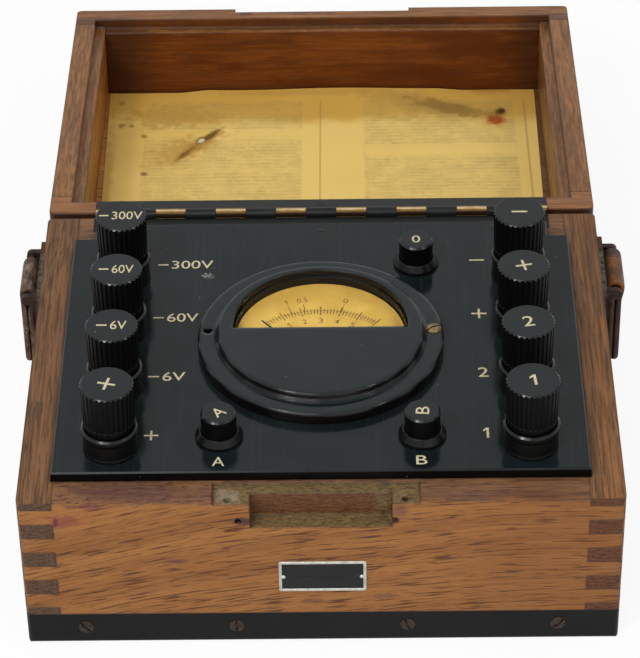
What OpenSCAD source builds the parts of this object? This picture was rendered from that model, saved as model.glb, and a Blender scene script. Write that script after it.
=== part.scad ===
// Portable voltmeter in an oak case whose lid is open, lengths in millimetres.
// The origin lies on the table below the middle of the base.
// +X runs to the right, +Y back to the hinge and +Z up.

/* [Case] */
// Width of the case over its side boards
case_w = 205; // [195:1:225]
// Depth of the case from front to back
case_d = 160; // [152:1:180]
// Height of the base's rim above the table
rim_h = 65; // [60:0.5:80]
// Thickness of the oak boards
wall = 12; // [11:0.25:14]
// Rounding of the upright corners
corner_r = 2; // [0.5:0.25:3.5]
// Height of one finger of the corner joints
finger_h = 6.4; // [4:0.2:9]

/* [Bottom tray] */
// Height of the sheet tray's flange
tray_h = 13.7; // [9:0.1:20]
// Sheet thickness of the tray
tray_t = 1.2; // [0.8:0.1:1.4]
// Outside radius of the tray's bends
tray_bend = 1.5; // [1.4:0.1:3]
// Clearance between the tray's flange and the boards
tray_gap = 0.1; // [0.05:0.05:0.3]

/* [Lid] */
// Outer height of the lid
lid_h = 42; // [40:0.5:60]
// Thickness of the lid's top board
lid_top_t = 9; // [6:0.25:9.5]
// Rounding of the top board's upper edges
lid_round = 3; // [1:0.25:5]
// Width of the rebate inside the lid's rim
rebate_w = 4; // [3:0.25:6]
// Depth of the rebate inside the lid's rim
rebate_h = 4.2; // [4:0.1:8]
// Thickness of the paper sheet glued under the top board
sheet_t = 0.4; // [0.2:0.1:0.8]
// Bare wood left round the paper sheet
sheet_margin = 1; // [0.5:0.25:5]

/* [Hinge] */
// Number of knuckles along the hinge, an odd count
knuckle_count = 15; // [11:2:15]
// Length of one knuckle
knuckle_w = 11.3; // [9:0.1:11.5]
// Outside diameter of the knuckles
knuckle_d = 4.4; // [3.6:0.1:5]
// Diameter of the hinge pin
pin_d = 1.8; // [1.2:0.1:2.4]
// Thickness of the two leaves
leaf_t = 1; // [0.6:0.1:1.4]
// Width of a leaf on the rim
leaf_w = 8.6; // [7:0.1:10]
// Distance of the pin behind the case's back face
pin_back = 1.75; // [1.5:0.05:3]
// Gap between the two rims when the lid is shut
rim_gap = 0.6; // [0.3:0.1:1.5]

/* [Lock seat] */
// Width of the seat for the lock's top plate
lock_w = 70; // [60:0.5:80]
// Place of that seat beside the middle
lock_x = -1.6; // [-3:0.1:3]
// Depth of that seat from the front face
lock_plate_d = 9.8; // [7:0.1:10.5]
// Sink of that seat below the rim
lock_plate_t = 1.4; // [0.8:0.1:2.5]
// Width of the pocket for the lock's body
lock_body_w = 48; // [40:0.5:56]
// Depth of that pocket from the front face
lock_body_d = 6.3; // [4:0.1:8]
// Height of that pocket below the rim
lock_body_h = 12; // [9:0.5:20]
// Diameter of the screw holes round the seat
lock_hole_d = 2.4; // [1.6:0.1:3]
// Width of the striker's seat in the lid
striker_w = 72.5; // [60:0.5:80]
// Depth of the striker's seat
striker_d = 2.6; // [1.5:0.1:4]
// Height of the striker's seat above the lid's rim
striker_h = 14; // [8:0.5:20]

/* [Panel] */
// Thickness of the ebonite panel
panel_t = 6; // [5:0.25:8]
// Height of the panel's face above the rim
panel_proud = 3.6; // [2:0.1:4]
// Overlap of the panel on each side board
panel_ledge = 1; // [0.5:0.1:2]
// Clearance round the panel
panel_gap = 0.2; // [0.1:0.05:0.3]
// Overlap of the panel on the front board
panel_front_lap = 0.9; // [0.4:0.1:2]
// Gap in front of the panel
panel_front_gap = 0.2; // [0.1:0.05:0.3]
// Distance of the panel's rear shoulders from the back face
panel_shoulder = 17.4; // [16:0.1:22]
// Bevel round the panel's face
panel_bevel = 0.5; // [0.3:0.1:1.8]
// Width and height of the cleats below the panel
cleat = 9; // [6:0.5:11]
// Width of the blocks in the rear corners
block_w = 6.55; // [4:0.05:9]
// Height of the blocks in the rear corners
block_h = 34; // [20:1:45]

/* [Terminals] */
// Distance of the terminals from the panel's side edges
term_inset = 19.8; // [18:0.1:24]
// Distance of the front pair from the panel's front edge
term_front = 13.3; // [11.5:0.1:20]
// Spacing of the terminals along a side
term_pitch = 31.5; // [26:0.1:33]
// Diameter of a knob at its top
knob_d = 18.4; // [16:0.1:19]
// Height of a knob from its washer to its face
knob_h = 20.7; // [18:0.1:21.2]
// Narrowing of a knob's fluted skirt towards its foot, in diameter
knob_taper = 0.9; // [0:0.1:1.5]
// Number of flutes round a knob
flute_count = 30; // [16:1:32]
// Diameter of one flute's cutter
flute_d = 1.3; // [0.8:0.1:1.6]
// Diameter of the collar's rim below a knob
collar_d = 19.5; // [19.2:0.1:22]
// Height of the collar
collar_h = 10; // [8:0.1:10.5]
// Wall of the collar's cup
collar_wall = 1; // [0.6:0.1:1.2]
// Depth of the collar's cup
cup_h = 4; // [3:0.1:5]
// Thickness of the clamping washer
washer_t = 1.2; // [0.8:0.1:1.6]
// Diameter of the threaded stud
stud_d = 5; // [4:0.1:6]
// Height of the stud above the panel's face
stud_up = 24; // [21:0.1:24.2]
// Thickness of the nut below the panel
nut_t = 4; // [3:0.1:5]

/* [Buttons] */
// Distance of the front buttons from the middle
button_x = 34.7; // [30:0.1:40]
// Distance of the front buttons from the panel's front edge
button_front = 18.2; // [15:0.1:21]
// Distance of the rear button from the panel's shoulders
button_inset = 16.7; // [14:0.1:20]
// Diameter of a button's cap
button_d = 12.2; // [10:0.1:13]
// Height of a button's face above the panel
button_h = 11; // [8:0.1:14]
// Travel of a button
button_travel = 3; // [1.5:0.1:4]
// Diameter of a button's plunger
plunger_d = 3; // [2:0.1:4]
// Diameter of a button's collar on the panel
button_collar_d = 16.4; // [15:0.1:18]
// Height of a button's collar
button_collar_h = 3.4; // [2:0.1:5]

/* [Meter] */
// Place of the meter's centre behind the middle of the case
meter_y = -1; // [-4:0.25:2]
// Diameter of the meter's flange
flange_d = 87; // [82:0.5:92]
// Height of the flange
flange_h = 4.4; // [3:0.1:5]
// Diameter of the raised cover
cover_d = 73; // [72:0.5:78]
// Height of the cover's face above the panel
cover_h = 7.5; // [7.2:0.1:10]
// Rounding of the flange's and cover's edges
cover_round = 1.1; // [0.4:0.1:1.4]
// Radius of the window's arc
window_r = 31; // [29:0.1:31.5]
// Centre of the window's arc behind the meter's centre
window_y = 2.6; // [1:0.1:3]
// Straight edge of the window behind the meter's centre
window_flat = 0.6; // [-1:0.1:2]
// Thickness of the glass
glass_t = 1.2; // [0.8:0.1:1.5]
// Width of the ledge below the glass
glass_ledge = 0.6; // [0.4:0.1:1]
// Height of the dial's face above the panel
dial_z = 1.7; // [1.2:0.1:1.9]
// Thickness of the dial plate
dial_t = 0.6; // [0.4:0.1:0.8]
// Diameter of the meter's pot below the panel
pot_d = 72; // [70:0.5:74]
// Wall of the pot
pot_wall = 2.4; // [1.5:0.1:2.6]
// Depth of the pot below the panel's face
pot_h = 32; // [30:0.5:45]

/* [Movement] */
// Place of the pointer's pivot behind the meter's centre
pivot_y = -14; // [-14.5:0.1:-12]
// Length of the pointer from its pivot
pointer_l = 32.5; // [28:0.5:34]
// Full swing of the pointer
pointer_swing = 80; // [60:1:90]
// Outside diameter of the ring magnet
magnet_d = 37; // [32:0.5:38]
// Diameter across the magnet's inside
magnet_in = 23; // [21:0.5:25]
// Height of the magnet
magnet_h = 16; // [13:0.5:17]
// Diameter of the iron core inside the coil
core_d = 14.4; // [12:0.1:14.6]
// Thickness of the coil's winding
coil_t = 0.7; // [0.4:0.1:0.8]

/* [Straps] */
// Width of a strap
strap_w = 23; // [16:0.5:28]
// Thickness of the leather
strap_t = 1.8; // [1.5:0.1:2.6]
// Length of a strap's hanging end below its bar
strap_l = 35; // [25:0.5:40]
// Distance of the straps from the back face
strap_y = 22; // [20:0.5:40]
// Height of the strap's bar below the rim
strap_drop = 10.5; // [8:0.5:16]
// Diameter of the bar that a strap hangs on
bar_d = 2.4; // [2:0.1:4]
// Thickness of the bracket's plate
bracket_t = 2.4; // [1:0.1:3]

/* [Hidden] */
$fn = 64;
// Clearance that lets a cut run past a face
eps = 0.5;
// Radial clearance of a running fit
run_gap = 0.05;
// Clearance between pieces that move past each other
move_gap = 0.35;

half_w = case_w / 2;
half_d = case_d / 2;
board_h = rim_h - tray_t;

pin_y = half_d + pin_back;
pin_z = rim_h + rim_gap / 2;
lid_rim = rim_h + rim_gap;
lid_wall_h = lid_h - lid_top_t;
hinge_l = knuckle_count * knuckle_w;
leaf_y = half_d - leaf_w;
// The open lid leans its top edge on the base's back face, this far from touching
lean_gap = 0.2;
lid_arm = lid_rim + lid_h - pin_z;
lean = acos((lean_gap - pin_back) / norm([pin_back, lid_arm])) - atan2(lid_arm, pin_back);
open_angle = 180 + lean;

panel_top = rim_h + panel_proud;
panel_low = panel_top - panel_t;
panel_w = case_w - 2 * (wall - panel_ledge + panel_gap);
panel_y0 = -half_d + wall - panel_front_lap + panel_front_gap;
panel_y1 = half_d - panel_shoulder;
tongue_w = case_w - 2 * (wall + block_w + panel_gap);
tongue_y1 = leaf_y - panel_gap;

term_x = panel_w / 2 - term_inset;
knob_z = collar_h - cup_h + washer_t + 0.1;
knob_neck_d = collar_d - 2 * collar_wall - 1.3;
knob_neck_h = collar_h - knob_z + 1.5;
stud_bore = stud_d + 0.12;
stud_down = panel_t + nut_t + 4;
nut_d = stud_d * 1.85;

button_wall = 1.2;
button_bore = button_d + 0.4;
bush_d = button_bore + 2 * button_wall;
bush_down = panel_t + button_travel + 1.6;
bush_floor = 1.5;
cap_low = -1;
clip_t = 1;
plunger_low = -bush_down - 0.1 - clip_t;
contact_z = plunger_low - button_travel - 0.2;
contact_l = 16;

glass_z = cover_h - 1.4 - glass_t;
sweep_top = glass_z - 1.5;
pot_floor = 3;
plate_z = pot_floor - pot_h;
plate_t = 3;
magnet_z = plate_z + plate_t;
core_z = magnet_z + 4;
core_ends = 7;
core_h = magnet_h - core_ends;
coil_in = core_d / 2 + 0.4;
coil_z = core_z - 0.5 - coil_t;
coil_h = core_h + 2 * (0.5 + coil_t);
shoe_in = coil_in + coil_t + 0.4;
bridge_z = glass_z - 1.2;
hub_z = dial_z + 0.4;
staff_d = 1.2;
pivot_gap = 0.1;

strap_z = rim_h - strap_drop;
loop_in = bar_d / 2 + 0.3;
loop_out = loop_in + strap_t;
bar_x = half_w + bracket_t + move_gap + loop_out;
lug_y = strap_w / 2 + 0.7;
lug_t = 2.2;
lug_wall = 0.9;
plate_margin = 0.6;
bracket_l = 2 * (lug_y + lug_t + plate_margin);
strap_place = half_d - strap_y;

SIDES = ["left", "right"];
ROWS = [1, 2, 3, 4];
BUTTONS = [1, 2, 3];

oak = "peru";
black = [0.12, 0.13, 0.13];
brass = "goldenrod";
steel = "slategray";

// Which way a side's pieces lie along X
function side_sign(side) = side == "left" ? -1 : 1;
// Place of a terminal, row 1 at the back and row 4 at the front
function term_place(side, row) =
    [side_sign(side) * term_x, panel_y0 + term_front + (4 - row) * term_pitch, panel_top];
// Places of the buttons: front left, front right and rear right
function button_place(n) = [
    n == 1 ? -button_x : button_x,
    n == 3 ? panel_y1 - button_inset : panel_y0 + button_front,
    panel_top
];

// Rectangle with round corners
module rounded(w, d, r) {
    square([w - 2 * r, d], center = true);
    square([w, d - 2 * r], center = true);
    for (x = [-1, 1], y = [-1, 1])
        translate([x * (w / 2 - r), y * (d / 2 - r)]) circle(r);
}

// Rectangle standing on the first axis, its two upper corners round
module round_topped(w, h, r) {
    translate([-w / 2, 0]) square([w, h - r]);
    translate([-w / 2 + r, 0]) square([w - 2 * r, h]);
    for (x = [-1, 1]) translate([x * (w / 2 - r), h - r]) circle(r);
}

// Slab on z = 0 with round upright corners and round upper edges
module round_slab(w, d, h, plan_r, edge_r) {
    intersection() {
        linear_extrude(h) rounded(w, d, plan_r);
        rotate([90, 0, 0]) linear_extrude(2 * d, center = true) round_topped(w, h, edge_r);
        rotate([90, 0, 90]) linear_extrude(2 * w, center = true) round_topped(d, h, edge_r);
    }
}

// Outline of a slab's section with its two upper edges bevelled
module bevelled(w, h, c) {
    polygon([[-w / 2, 0], [w / 2, 0], [w / 2, h - c], [w / 2 - c, h], [c - w / 2, h], [-w / 2, h - c]]);
}

// Slab on z = 0 with its four upper edges bevelled
module bevel_slab(w, d, h, c) {
    intersection() {
        rotate([90, 0, 0]) linear_extrude(d, center = true) bevelled(w, h, c);
        rotate([90, 0, 90]) linear_extrude(w, center = true) bevelled(d, h, c);
    }
}

// Joint fingers of one corner, counted down from the rim; the first one is half as high
module fingers(height, parity) {
    for (k = [parity : 2 : ceil(height / finger_h + 0.5)]) {
        from = max(0, (k - 0.5) * finger_h);
        to = min(height, (k + 0.5) * finger_h);
        if (to > from) translate([0, 0, -to]) cube([wall, wall, to - from]);
    }
}

// Front or back board of a frame that hangs from the rim at z = 0
module end_board(sign, height, parity) {
    translate([0, sign * (half_d - wall / 2), 0]) {
        translate([wall - half_w, -wall / 2, -height]) cube([case_w - 2 * wall, wall, height]);
        for (x = [-half_w, half_w - wall]) translate([x, -wall / 2, 0]) fingers(height, parity);
    }
}

// Side board of the same frame
module side_board(sign, height, parity) {
    translate([sign * (half_w - wall / 2), 0, 0]) {
        translate([-wall / 2, wall - half_d, -height]) cube([wall, case_d - 2 * wall, height]);
        for (y = [-half_d, half_d - wall]) translate([-wall / 2, y, 0]) fingers(height, parity);
    }
}

// Outer shape of the base's boards: flush with the tray's flange above it, inside it below
module base_envelope() {
    inset = 2 * (tray_t + tray_gap);
    translate([0, 0, tray_h]) linear_extrude(rim_h - tray_h) rounded(case_w, case_d, corner_r);
    translate([0, 0, tray_t])
        linear_extrude(tray_h - tray_t) rounded(case_w - inset, case_d - inset, corner_r);
}

// Space that the knuckles turn in
module barrel_space() {
    translate([0, pin_y, pin_z]) rotate([0, 90, 0])
        cylinder(d = knuckle_d + 2 * move_gap, h = hinge_l + 2 * panel_gap, center = true);
}

// Seat of a leaf on a rim, from the height low up
module leaf_seat(low) {
    translate([-hinge_l / 2 - panel_gap, leaf_y, low])
        cube([hinge_l + 2 * panel_gap, leaf_w + eps, leaf_t]);
}

module lock_seat() {
    plate_hole_y = 2.6;
    side_hole_z = 8.8;
    hole_depth = 7;
    plate_hole_inset = 5;
    translate([lock_x - lock_w / 2, -half_d - eps, rim_h - lock_plate_t])
        cube([lock_w, lock_plate_d + eps, lock_plate_t + eps]);
    translate([-lock_body_w / 2, -half_d - eps, rim_h - lock_body_h])
        cube([lock_body_w, lock_body_d + eps, lock_body_h + eps]);
    for (x = [-1, 1]) translate([lock_x, -half_d, rim_h]) {
        translate([x * (lock_w / 2 - plate_hole_inset), plate_hole_y, -lock_plate_t - hole_depth])
            cylinder(d = lock_hole_d, h = hole_depth + eps);
        translate([x * (lock_body_w / 2 + lock_hole_d), -eps, -side_hole_z])
            rotate([-90, 0, 0]) cylinder(d = lock_hole_d, h = hole_depth);
    }
}

module base_front() {
    color(oak) difference() {
        intersection() {
            translate([0, 0, rim_h]) end_board(-1, board_h, 1);
            base_envelope();
        }
        lock_seat();
        translate([wall - half_w, wall - panel_front_lap - half_d, panel_low])
            cube([case_w - 2 * wall, panel_front_lap + eps, panel_t]);
    }
}

module base_rear() {
    color(oak) difference() {
        intersection() {
            translate([0, 0, rim_h]) end_board(1, board_h, 1);
            base_envelope();
        }
        translate([-tongue_w / 2 - panel_gap, half_d - wall - eps, panel_low])
            cube([tongue_w + 2 * panel_gap, tongue_y1 + panel_gap - half_d + wall + eps, panel_t]);
        leaf_seat(rim_h - leaf_t);
        barrel_space();
    }
}

module base_side(sign) {
    color(oak) difference() {
        intersection() {
            translate([0, 0, rim_h]) side_board(sign, board_h, 0);
            base_envelope();
        }
        translate([sign * (half_w - wall + panel_ledge / 2), 0, panel_low])
            translate([-panel_ledge / 2, panel_y0 - panel_front_gap, 0])
                cube([panel_ledge, panel_y1 + panel_gap - panel_y0 + panel_front_gap, panel_t]);
        leaf_seat(rim_h - leaf_t);
        barrel_space();
    }
}

module tray() {
    inner = 2 * tray_t;
    color(black) difference() {
        translate([0, 0, tray_h]) mirror([0, 0, 1])
            round_slab(case_w, case_d, tray_h, corner_r, tray_bend);
        translate([0, 0, tray_t])
            linear_extrude(tray_h) rounded(case_w - inner, case_d - inner, corner_r);
    }
}

// Hole through the panel for a piece of diameter d, drawn from the panel's face
module panel_hole(d) {
    translate([0, 0, -panel_t - eps]) cylinder(d = d + 2 * panel_gap, h = panel_t + 2 * eps);
}

module panel() {
    depth = panel_y1 - panel_y0;
    tongue_d = tongue_y1 - panel_y1 + cleat;
    color(black) difference() {
        union() {
            translate([0, panel_y0 + depth / 2, panel_low])
                bevel_slab(panel_w, depth, panel_t, panel_bevel);
            translate([0, tongue_y1 - tongue_d / 2, panel_low])
                bevel_slab(tongue_w, tongue_d, panel_t, panel_bevel);
        }
        translate([0, meter_y, panel_top]) panel_hole(pot_d);
        for (side = SIDES, row = ROWS) translate(term_place(side, row)) panel_hole(stud_d);
        for (n = BUTTONS) translate(button_place(n)) panel_hole(bush_d);
    }
}

module panel_cleat(sign) {
    end_gap = 8;
    length = panel_y1 - panel_y0 - 2 * end_gap;
    x = sign * (half_w - wall - cleat / 2);
    color(oak) translate([x, panel_y0 + end_gap + length / 2, panel_low - cleat / 2])
        cube([cleat, length, cleat], center = true);
}

module corner_block(sign) {
    depth = panel_shoulder - panel_gap - wall;
    x = sign * (half_w - wall - block_w / 2);
    color(oak) translate([x, half_d - wall - depth / 2, rim_h - block_h / 2])
        cube([block_w, depth, block_h], center = true);
}

// One knuckle's place along the hinge
module knuckle_at(i) {
    translate([(i - (knuckle_count - 1) / 2) * knuckle_w, pin_y, pin_z]) rotate([0, 90, 0]) children();
}

// A leaf with its own knuckles; the base owns the even ones and the lid the odd ones
module leaf(low, parity) {
    end_gap = 0.1;
    difference() {
        union() {
            translate([-hinge_l / 2, leaf_y + panel_gap, low])
                cube([hinge_l, pin_y - leaf_y - panel_gap, leaf_t]);
            for (i = [parity : 2 : knuckle_count - 1]) knuckle_at(i)
                cylinder(d = knuckle_d, h = knuckle_w - 2 * end_gap, center = true);
        }
        for (i = [1 - parity : 2 : knuckle_count - 1]) knuckle_at(i)
            cylinder(d = knuckle_d + 2 * move_gap, h = knuckle_w, center = true);
        translate([0, pin_y, pin_z]) rotate([0, 90, 0])
            cylinder(d = pin_d + 2 * run_gap, h = hinge_l + 2 * eps, center = true);
    }
}

module hinge_base() {
    color(brass) leaf(rim_h - leaf_t, 0);
}

module hinge_pin() {
    color(steel) translate([0, pin_y, pin_z]) rotate([0, 90, 0])
        cylinder(d = pin_d, h = hinge_l, center = true);
}

// Cup-shaped collar of one terminal
module terminal_collar() {
    rim_r = collar_d / 2;
    body_r = rim_r - 0.5;
    cup_r = rim_r - collar_wall;
    foot_r = rim_r - 0.3;
    foot_h = 0.8;
    foot_slope = 0.6;
    lip_h = 1.9;
    lip_slope = 1.3;
    edge = 0.7;
    rotate_extrude() polygon([
        [stud_d / 2, 0], [foot_r, 0], [foot_r, foot_h], [body_r, foot_h + foot_slope],
        [body_r, collar_h - lip_h - lip_slope], [rim_r, collar_h - lip_h], [rim_r, collar_h - edge],
        [rim_r - edge, collar_h], [cup_r, collar_h], [cup_r, collar_h - cup_h],
        [stud_d / 2, collar_h - cup_h]
    ]);
}

module terminal_collars() {
    color(black) for (side = SIDES, row = ROWS) translate(term_place(side, row)) terminal_collar();
}

module studs() {
    color(brass) for (side = SIDES, row = ROWS) translate(term_place(side, row)) {
        translate([0, 0, -stud_down]) cylinder(d = stud_d, h = stud_down + stud_up);
        translate([0, 0, -panel_t - nut_t]) cylinder(d = nut_d, h = nut_t, $fn = 6);
    }
}

module washer() {
    color(brass) translate([0, 0, collar_h - cup_h]) difference() {
        cylinder(d = knob_neck_d - 0.4, h = washer_t);
        translate([0, 0, -eps]) cylinder(d = stud_bore, h = washer_t + 2 * eps);
    }
}

// Knob with a smooth neck, a fluted skirt that widens upwards and a bevelled face
module knob() {
    top_r = knob_d / 2;
    foot_r = (knob_d - knob_taper) / 2;
    edge = 0.5;
    skirt_h = knob_h - knob_neck_h - edge;
    tilt = atan((top_r - foot_r) / skirt_h);
    bore_h = stud_up - knob_z + 0.3;
    color(black) translate([0, 0, knob_z]) difference() {
        rotate_extrude() polygon([
            [0, 0], [knob_neck_d / 2, 0], [knob_neck_d / 2, knob_neck_h], [foot_r, knob_neck_h],
            [top_r, knob_h - edge], [top_r - edge, knob_h], [0, knob_h]
        ]);
        translate([0, 0, -eps]) cylinder(d = stud_bore, h = bore_h + eps);
        for (i = [0 : flute_count - 1]) rotate([0, 0, i * 360 / flute_count])
            translate([foot_r + flute_d / 4, 0, knob_neck_h + flute_d])
                rotate([0, tilt, 0]) cylinder(d = flute_d, h = knob_h, $fn = 16);
    }
}

// Guide of one button: a collar on the panel with a bush through it
module button_collar() {
    bore_r = button_bore / 2;
    rim_r = button_collar_d / 2;
    foot_h = 1.1;
    rotate_extrude() polygon([
        [bore_r, button_collar_h], [bore_r + 0.5, button_collar_h], [rim_r, foot_h], [rim_r, 0],
        [bush_d / 2, 0], [bush_d / 2, -bush_down], [plunger_d / 2 + run_gap, -bush_down],
        [plunger_d / 2 + run_gap, bush_floor - bush_down], [bore_r, bush_floor - bush_down]
    ]);
}

module button_collars() {
    color(black) for (n = BUTTONS) translate(button_place(n)) button_collar();
}

// Cap with its plunger and the clip that keeps it in the bush
module button() {
    r = button_d / 2;
    edge = 0.6;
    clip_r = plunger_d / 2 + 1;
    clip_z = -bush_down - 0.1;
    color(black) rotate_extrude() polygon([
        [0, plunger_low], [clip_r, plunger_low], [clip_r, clip_z], [plunger_d / 2, clip_z],
        [plunger_d / 2, cap_low], [r, cap_low], [r, button_h - edge], [r - edge, button_h], [0, button_h]
    ]);
}

// Fixed contact blade on an insulating block below each button
module contacts() {
    blade_w = 5;
    blade_t = 0.6;
    block = 7;
    color(brass) for (n = BUTTONS) translate(button_place(n)) {
        translate([0, -blade_w / 2, contact_z - blade_t]) cube([contact_l, blade_w, blade_t]);
        translate([contact_l - block / 2, -block / 2, contact_z - blade_t])
            cube([block, block, -panel_t - contact_z + blade_t]);
    }
}

// Wire-wound series resistors on bobbins below the panel's rear edge
module resistors() {
    bobbin_h = 28;
    cheek_r = 8;
    coil_r = 6.2;
    cheek_h = 2;
    spacing = 21;
    color("saddlebrown") for (i = [0 : 2])
        translate([-i * spacing, panel_y1 - button_inset + 4, panel_low - bobbin_h])
            rotate_extrude() polygon([
                [0, 0], [cheek_r, 0], [cheek_r, cheek_h], [coil_r, cheek_h], [coil_r, bobbin_h - cheek_h],
                [cheek_r, bobbin_h - cheek_h], [cheek_r, bobbin_h], [0, bobbin_h]
            ]);
}

// Frame of the meter: centre on the panel's face
module at_meter() {
    translate([0, meter_y, panel_top]) children();
}

module meter_case() {
    color(black) at_meter() difference() {
        translate([0, 0, -pot_h]) cylinder(d = pot_d, h = pot_h);
        translate([0, 0, plate_z]) cylinder(d = pot_d - 2 * pot_wall, h = pot_h);
    }
}

// Section of a round-edged disc of radius r and height h
module disc_section(r, h, edge) {
    square([r - edge, h]);
    square([r, h - edge]);
    translate([r - edge, h - edge]) circle(edge);
}

// Half-round outline of the window, grown by a margin
module window_outline(margin) {
    intersection() {
        translate([0, window_y]) circle(window_r + margin);
        translate([-pot_d, window_flat - margin]) square([2 * pot_d, pot_d]);
    }
}

module meter_cover() {
    cover_r = cover_d / 2;
    hole_x = (flange_d + cover_d) / 4;
    hole_y = 3;
    hole_d = 3.2;
    step = 0.8;
    cavity_d = pot_d - 2 * pot_wall - 1;
    color(black) at_meter() difference() {
        rotate_extrude() {
            disc_section(flange_d / 2, flange_h, cover_round);
            disc_section(cover_r + step, flange_h + step, step / 2);
            disc_section(cover_r, cover_h, cover_round);
        }
        translate([0, 0, glass_z]) linear_extrude(cover_h) window_outline(0);
        translate([0, 0, -eps]) linear_extrude(glass_z + 2 * eps) window_outline(-glass_ledge);
        translate([0, 0, -eps]) linear_extrude(sweep_top + eps) intersection() {
            circle(d = cavity_d);
            translate([-pot_d, -pot_d]) square([2 * pot_d, pot_d + window_flat + 2 * glass_ledge]);
        }
        translate([0, 0, -eps]) linear_extrude(glass_z + eps) intersection() {
            circle(d = cavity_d);
            translate([-pot_d, -pot_d]) square([2 * pot_d, pot_d + window_flat - 2]);
        }
        for (x = [-1, 1]) translate([x * hole_x, hole_y, -eps]) cylinder(d = hole_d, h = cover_h);
    }
}

module meter_glass() {
    color("lightcyan", 0.4) at_meter() translate([0, 0, glass_z])
        linear_extrude(glass_t) window_outline(-run_gap);
}

// Dial plate under the window, carried by the movement's two pillars
module dial() {
    staff_clear = 8;
    front = pivot_y + staff_clear;
    color("khaki") at_meter() translate([0, 0, dial_z - dial_t]) linear_extrude(dial_t) intersection() {
        translate([0, window_y]) circle(window_r - glass_ledge - 0.4);
        translate([-pot_d, front]) square([2 * pot_d, pot_d]);
    }
}

module movement_plate() {
    pillar_x = 21;
    pillar_y = 8;
    pillar_d = 4.4;
    boss_d = 5;
    boss_h = core_z - coil_t - 1 - magnet_z;
    color(brass) at_meter() {
        translate([0, 0, plate_z]) cylinder(d = pot_d - 2 * pot_wall - 1, h = plate_t);
        for (x = [-1, 1]) translate([x * pillar_x, pillar_y, plate_z])
            cylinder(d = pillar_d, h = dial_z - dial_t - plate_z);
        translate([0, pivot_y, magnet_z - eps]) cylinder(d = boss_d, h = boss_h + eps);
    }
}

// Frame of the pointer's pivot, at the height of the panel's face
module at_pivot() {
    at_meter() translate([0, pivot_y, 0]) children();
}

module magnet() {
    gap = 70;
    color(steel) at_pivot() translate([0, 0, magnet_z]) rotate([0, 0, gap / 2 - 90])
        rotate_extrude(angle = 360 - gap) translate([magnet_in / 2, 0])
            square([(magnet_d - magnet_in) / 2, magnet_h]);
}

module pole_shoes() {
    reach = 100;
    color("silver") at_pivot() for (turn = [0, 180]) rotate([0, 0, turn - reach / 2])
        translate([0, 0, core_z - 1]) rotate_extrude(angle = reach)
            translate([shoe_in, 0]) square([magnet_in / 2 - shoe_in, core_h + 2]);
}

// Core with the tab that holds it to the magnet's inside
module core() {
    tab_w = 4;
    color("silver") at_pivot() translate([0, 0, core_z]) {
        cylinder(d = core_d, h = core_h);
        intersection() {
            translate([-tab_w / 2, 0, core_h / 2 - 1]) cube([tab_w, magnet_in, 2]);
            cylinder(d = magnet_in, h = core_h);
        }
    }
}

module bridge() {
    leg_x = (magnet_d + magnet_in) / 4;
    leg = 4;
    bar_t = 1;
    foot = magnet_z + magnet_h;
    color(brass) at_pivot() {
        for (x = [-1, 1]) translate([x * leg_x - leg / 2, -leg / 2, foot])
            cube([leg, leg, bridge_z - foot]);
        translate([-leg_x - leg / 2, -leg / 2, bridge_z]) cube([2 * leg_x + leg, leg, bar_t]);
    }
}

// Turns the moving pieces to the scale's left end
module at_rest_angle() {
    at_pivot() rotate([0, 0, pointer_swing / 2]) children();
}

// Coil on its frame round the core, with the staff that carries the pointer
module coil() {
    coil_w = 3;
    foot_l = 0.2;
    outer = coil_in + coil_t;
    color("chocolate") at_rest_angle() {
        difference() {
            translate([-outer, -coil_w / 2, coil_z]) cube([2 * outer, coil_w, coil_h]);
            translate([-coil_in, -coil_w, coil_z + coil_t])
                cube([2 * coil_in, 2 * coil_w, coil_h - 2 * coil_t]);
        }
        translate([0, 0, coil_z - foot_l]) cylinder(d = staff_d, h = coil_t + foot_l);
        translate([0, 0, coil_z + coil_h - coil_t])
            cylinder(d = staff_d, h = hub_z - coil_z - coil_h + coil_t);
    }
}

// Pointer with its hub, tapered needle and counterweight
module pointer() {
    hub_d = 4;
    hub_h = 0.8;
    needle_t = 0.4;
    root = 0.4;
    tip = 0.12;
    tail_l = 8;
    weight_d = 2.4;
    color(black) at_rest_angle() translate([0, 0, hub_z]) {
        cylinder(d = hub_d, h = hub_h);
        cylinder(d = staff_d, h = bridge_z - hub_z - pivot_gap);
        linear_extrude(needle_t) polygon([
            [-root, -tail_l], [root, -tail_l], [root, 0], [tip, pointer_l], [-tip, pointer_l], [-root, 0]
        ]);
        translate([0, weight_d / 2 - tail_l, 0]) cylinder(d = weight_d, h = hub_h);
    }
}

// Plate with two lugs and the round bar that a strap hangs on
module bracket(sign) {
    plate_h = 10;
    color(steel) translate([0, strap_place, strap_z]) {
        translate([sign * (half_w + bracket_t / 2), 0, 0])
            cube([bracket_t, bracket_l, plate_h], center = true);
        for (y = [-1, 1]) translate([sign * half_w, y * (lug_y + lug_t / 2), 0]) rotate([90, 0, 0])
            linear_extrude(lug_t, center = true) {
                translate([sign * (bar_x - half_w), 0]) circle(bar_d / 2 + lug_wall);
                translate([sign * (bar_x - half_w) / 2, 0])
                    square([bar_x - half_w, bar_d + 2 * lug_wall], center = true);
            }
        translate([sign * bar_x, 0, 0]) rotate([90, 0, 0])
            cylinder(d = bar_d, h = 2 * lug_y + lug_t, center = true);
    }
}

// Leather folded over the bar, its two layers sewn together below
module strap(sign) {
    color("sienna") translate([sign * bar_x, strap_place, strap_z]) rotate([90, 0, 0])
        linear_extrude(strap_w, center = true) difference() {
            union() {
                circle(loop_out);
                translate([-strap_t, -strap_l]) square([2 * strap_t, strap_l]);
            }
            circle(loop_in);
        }
}

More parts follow.
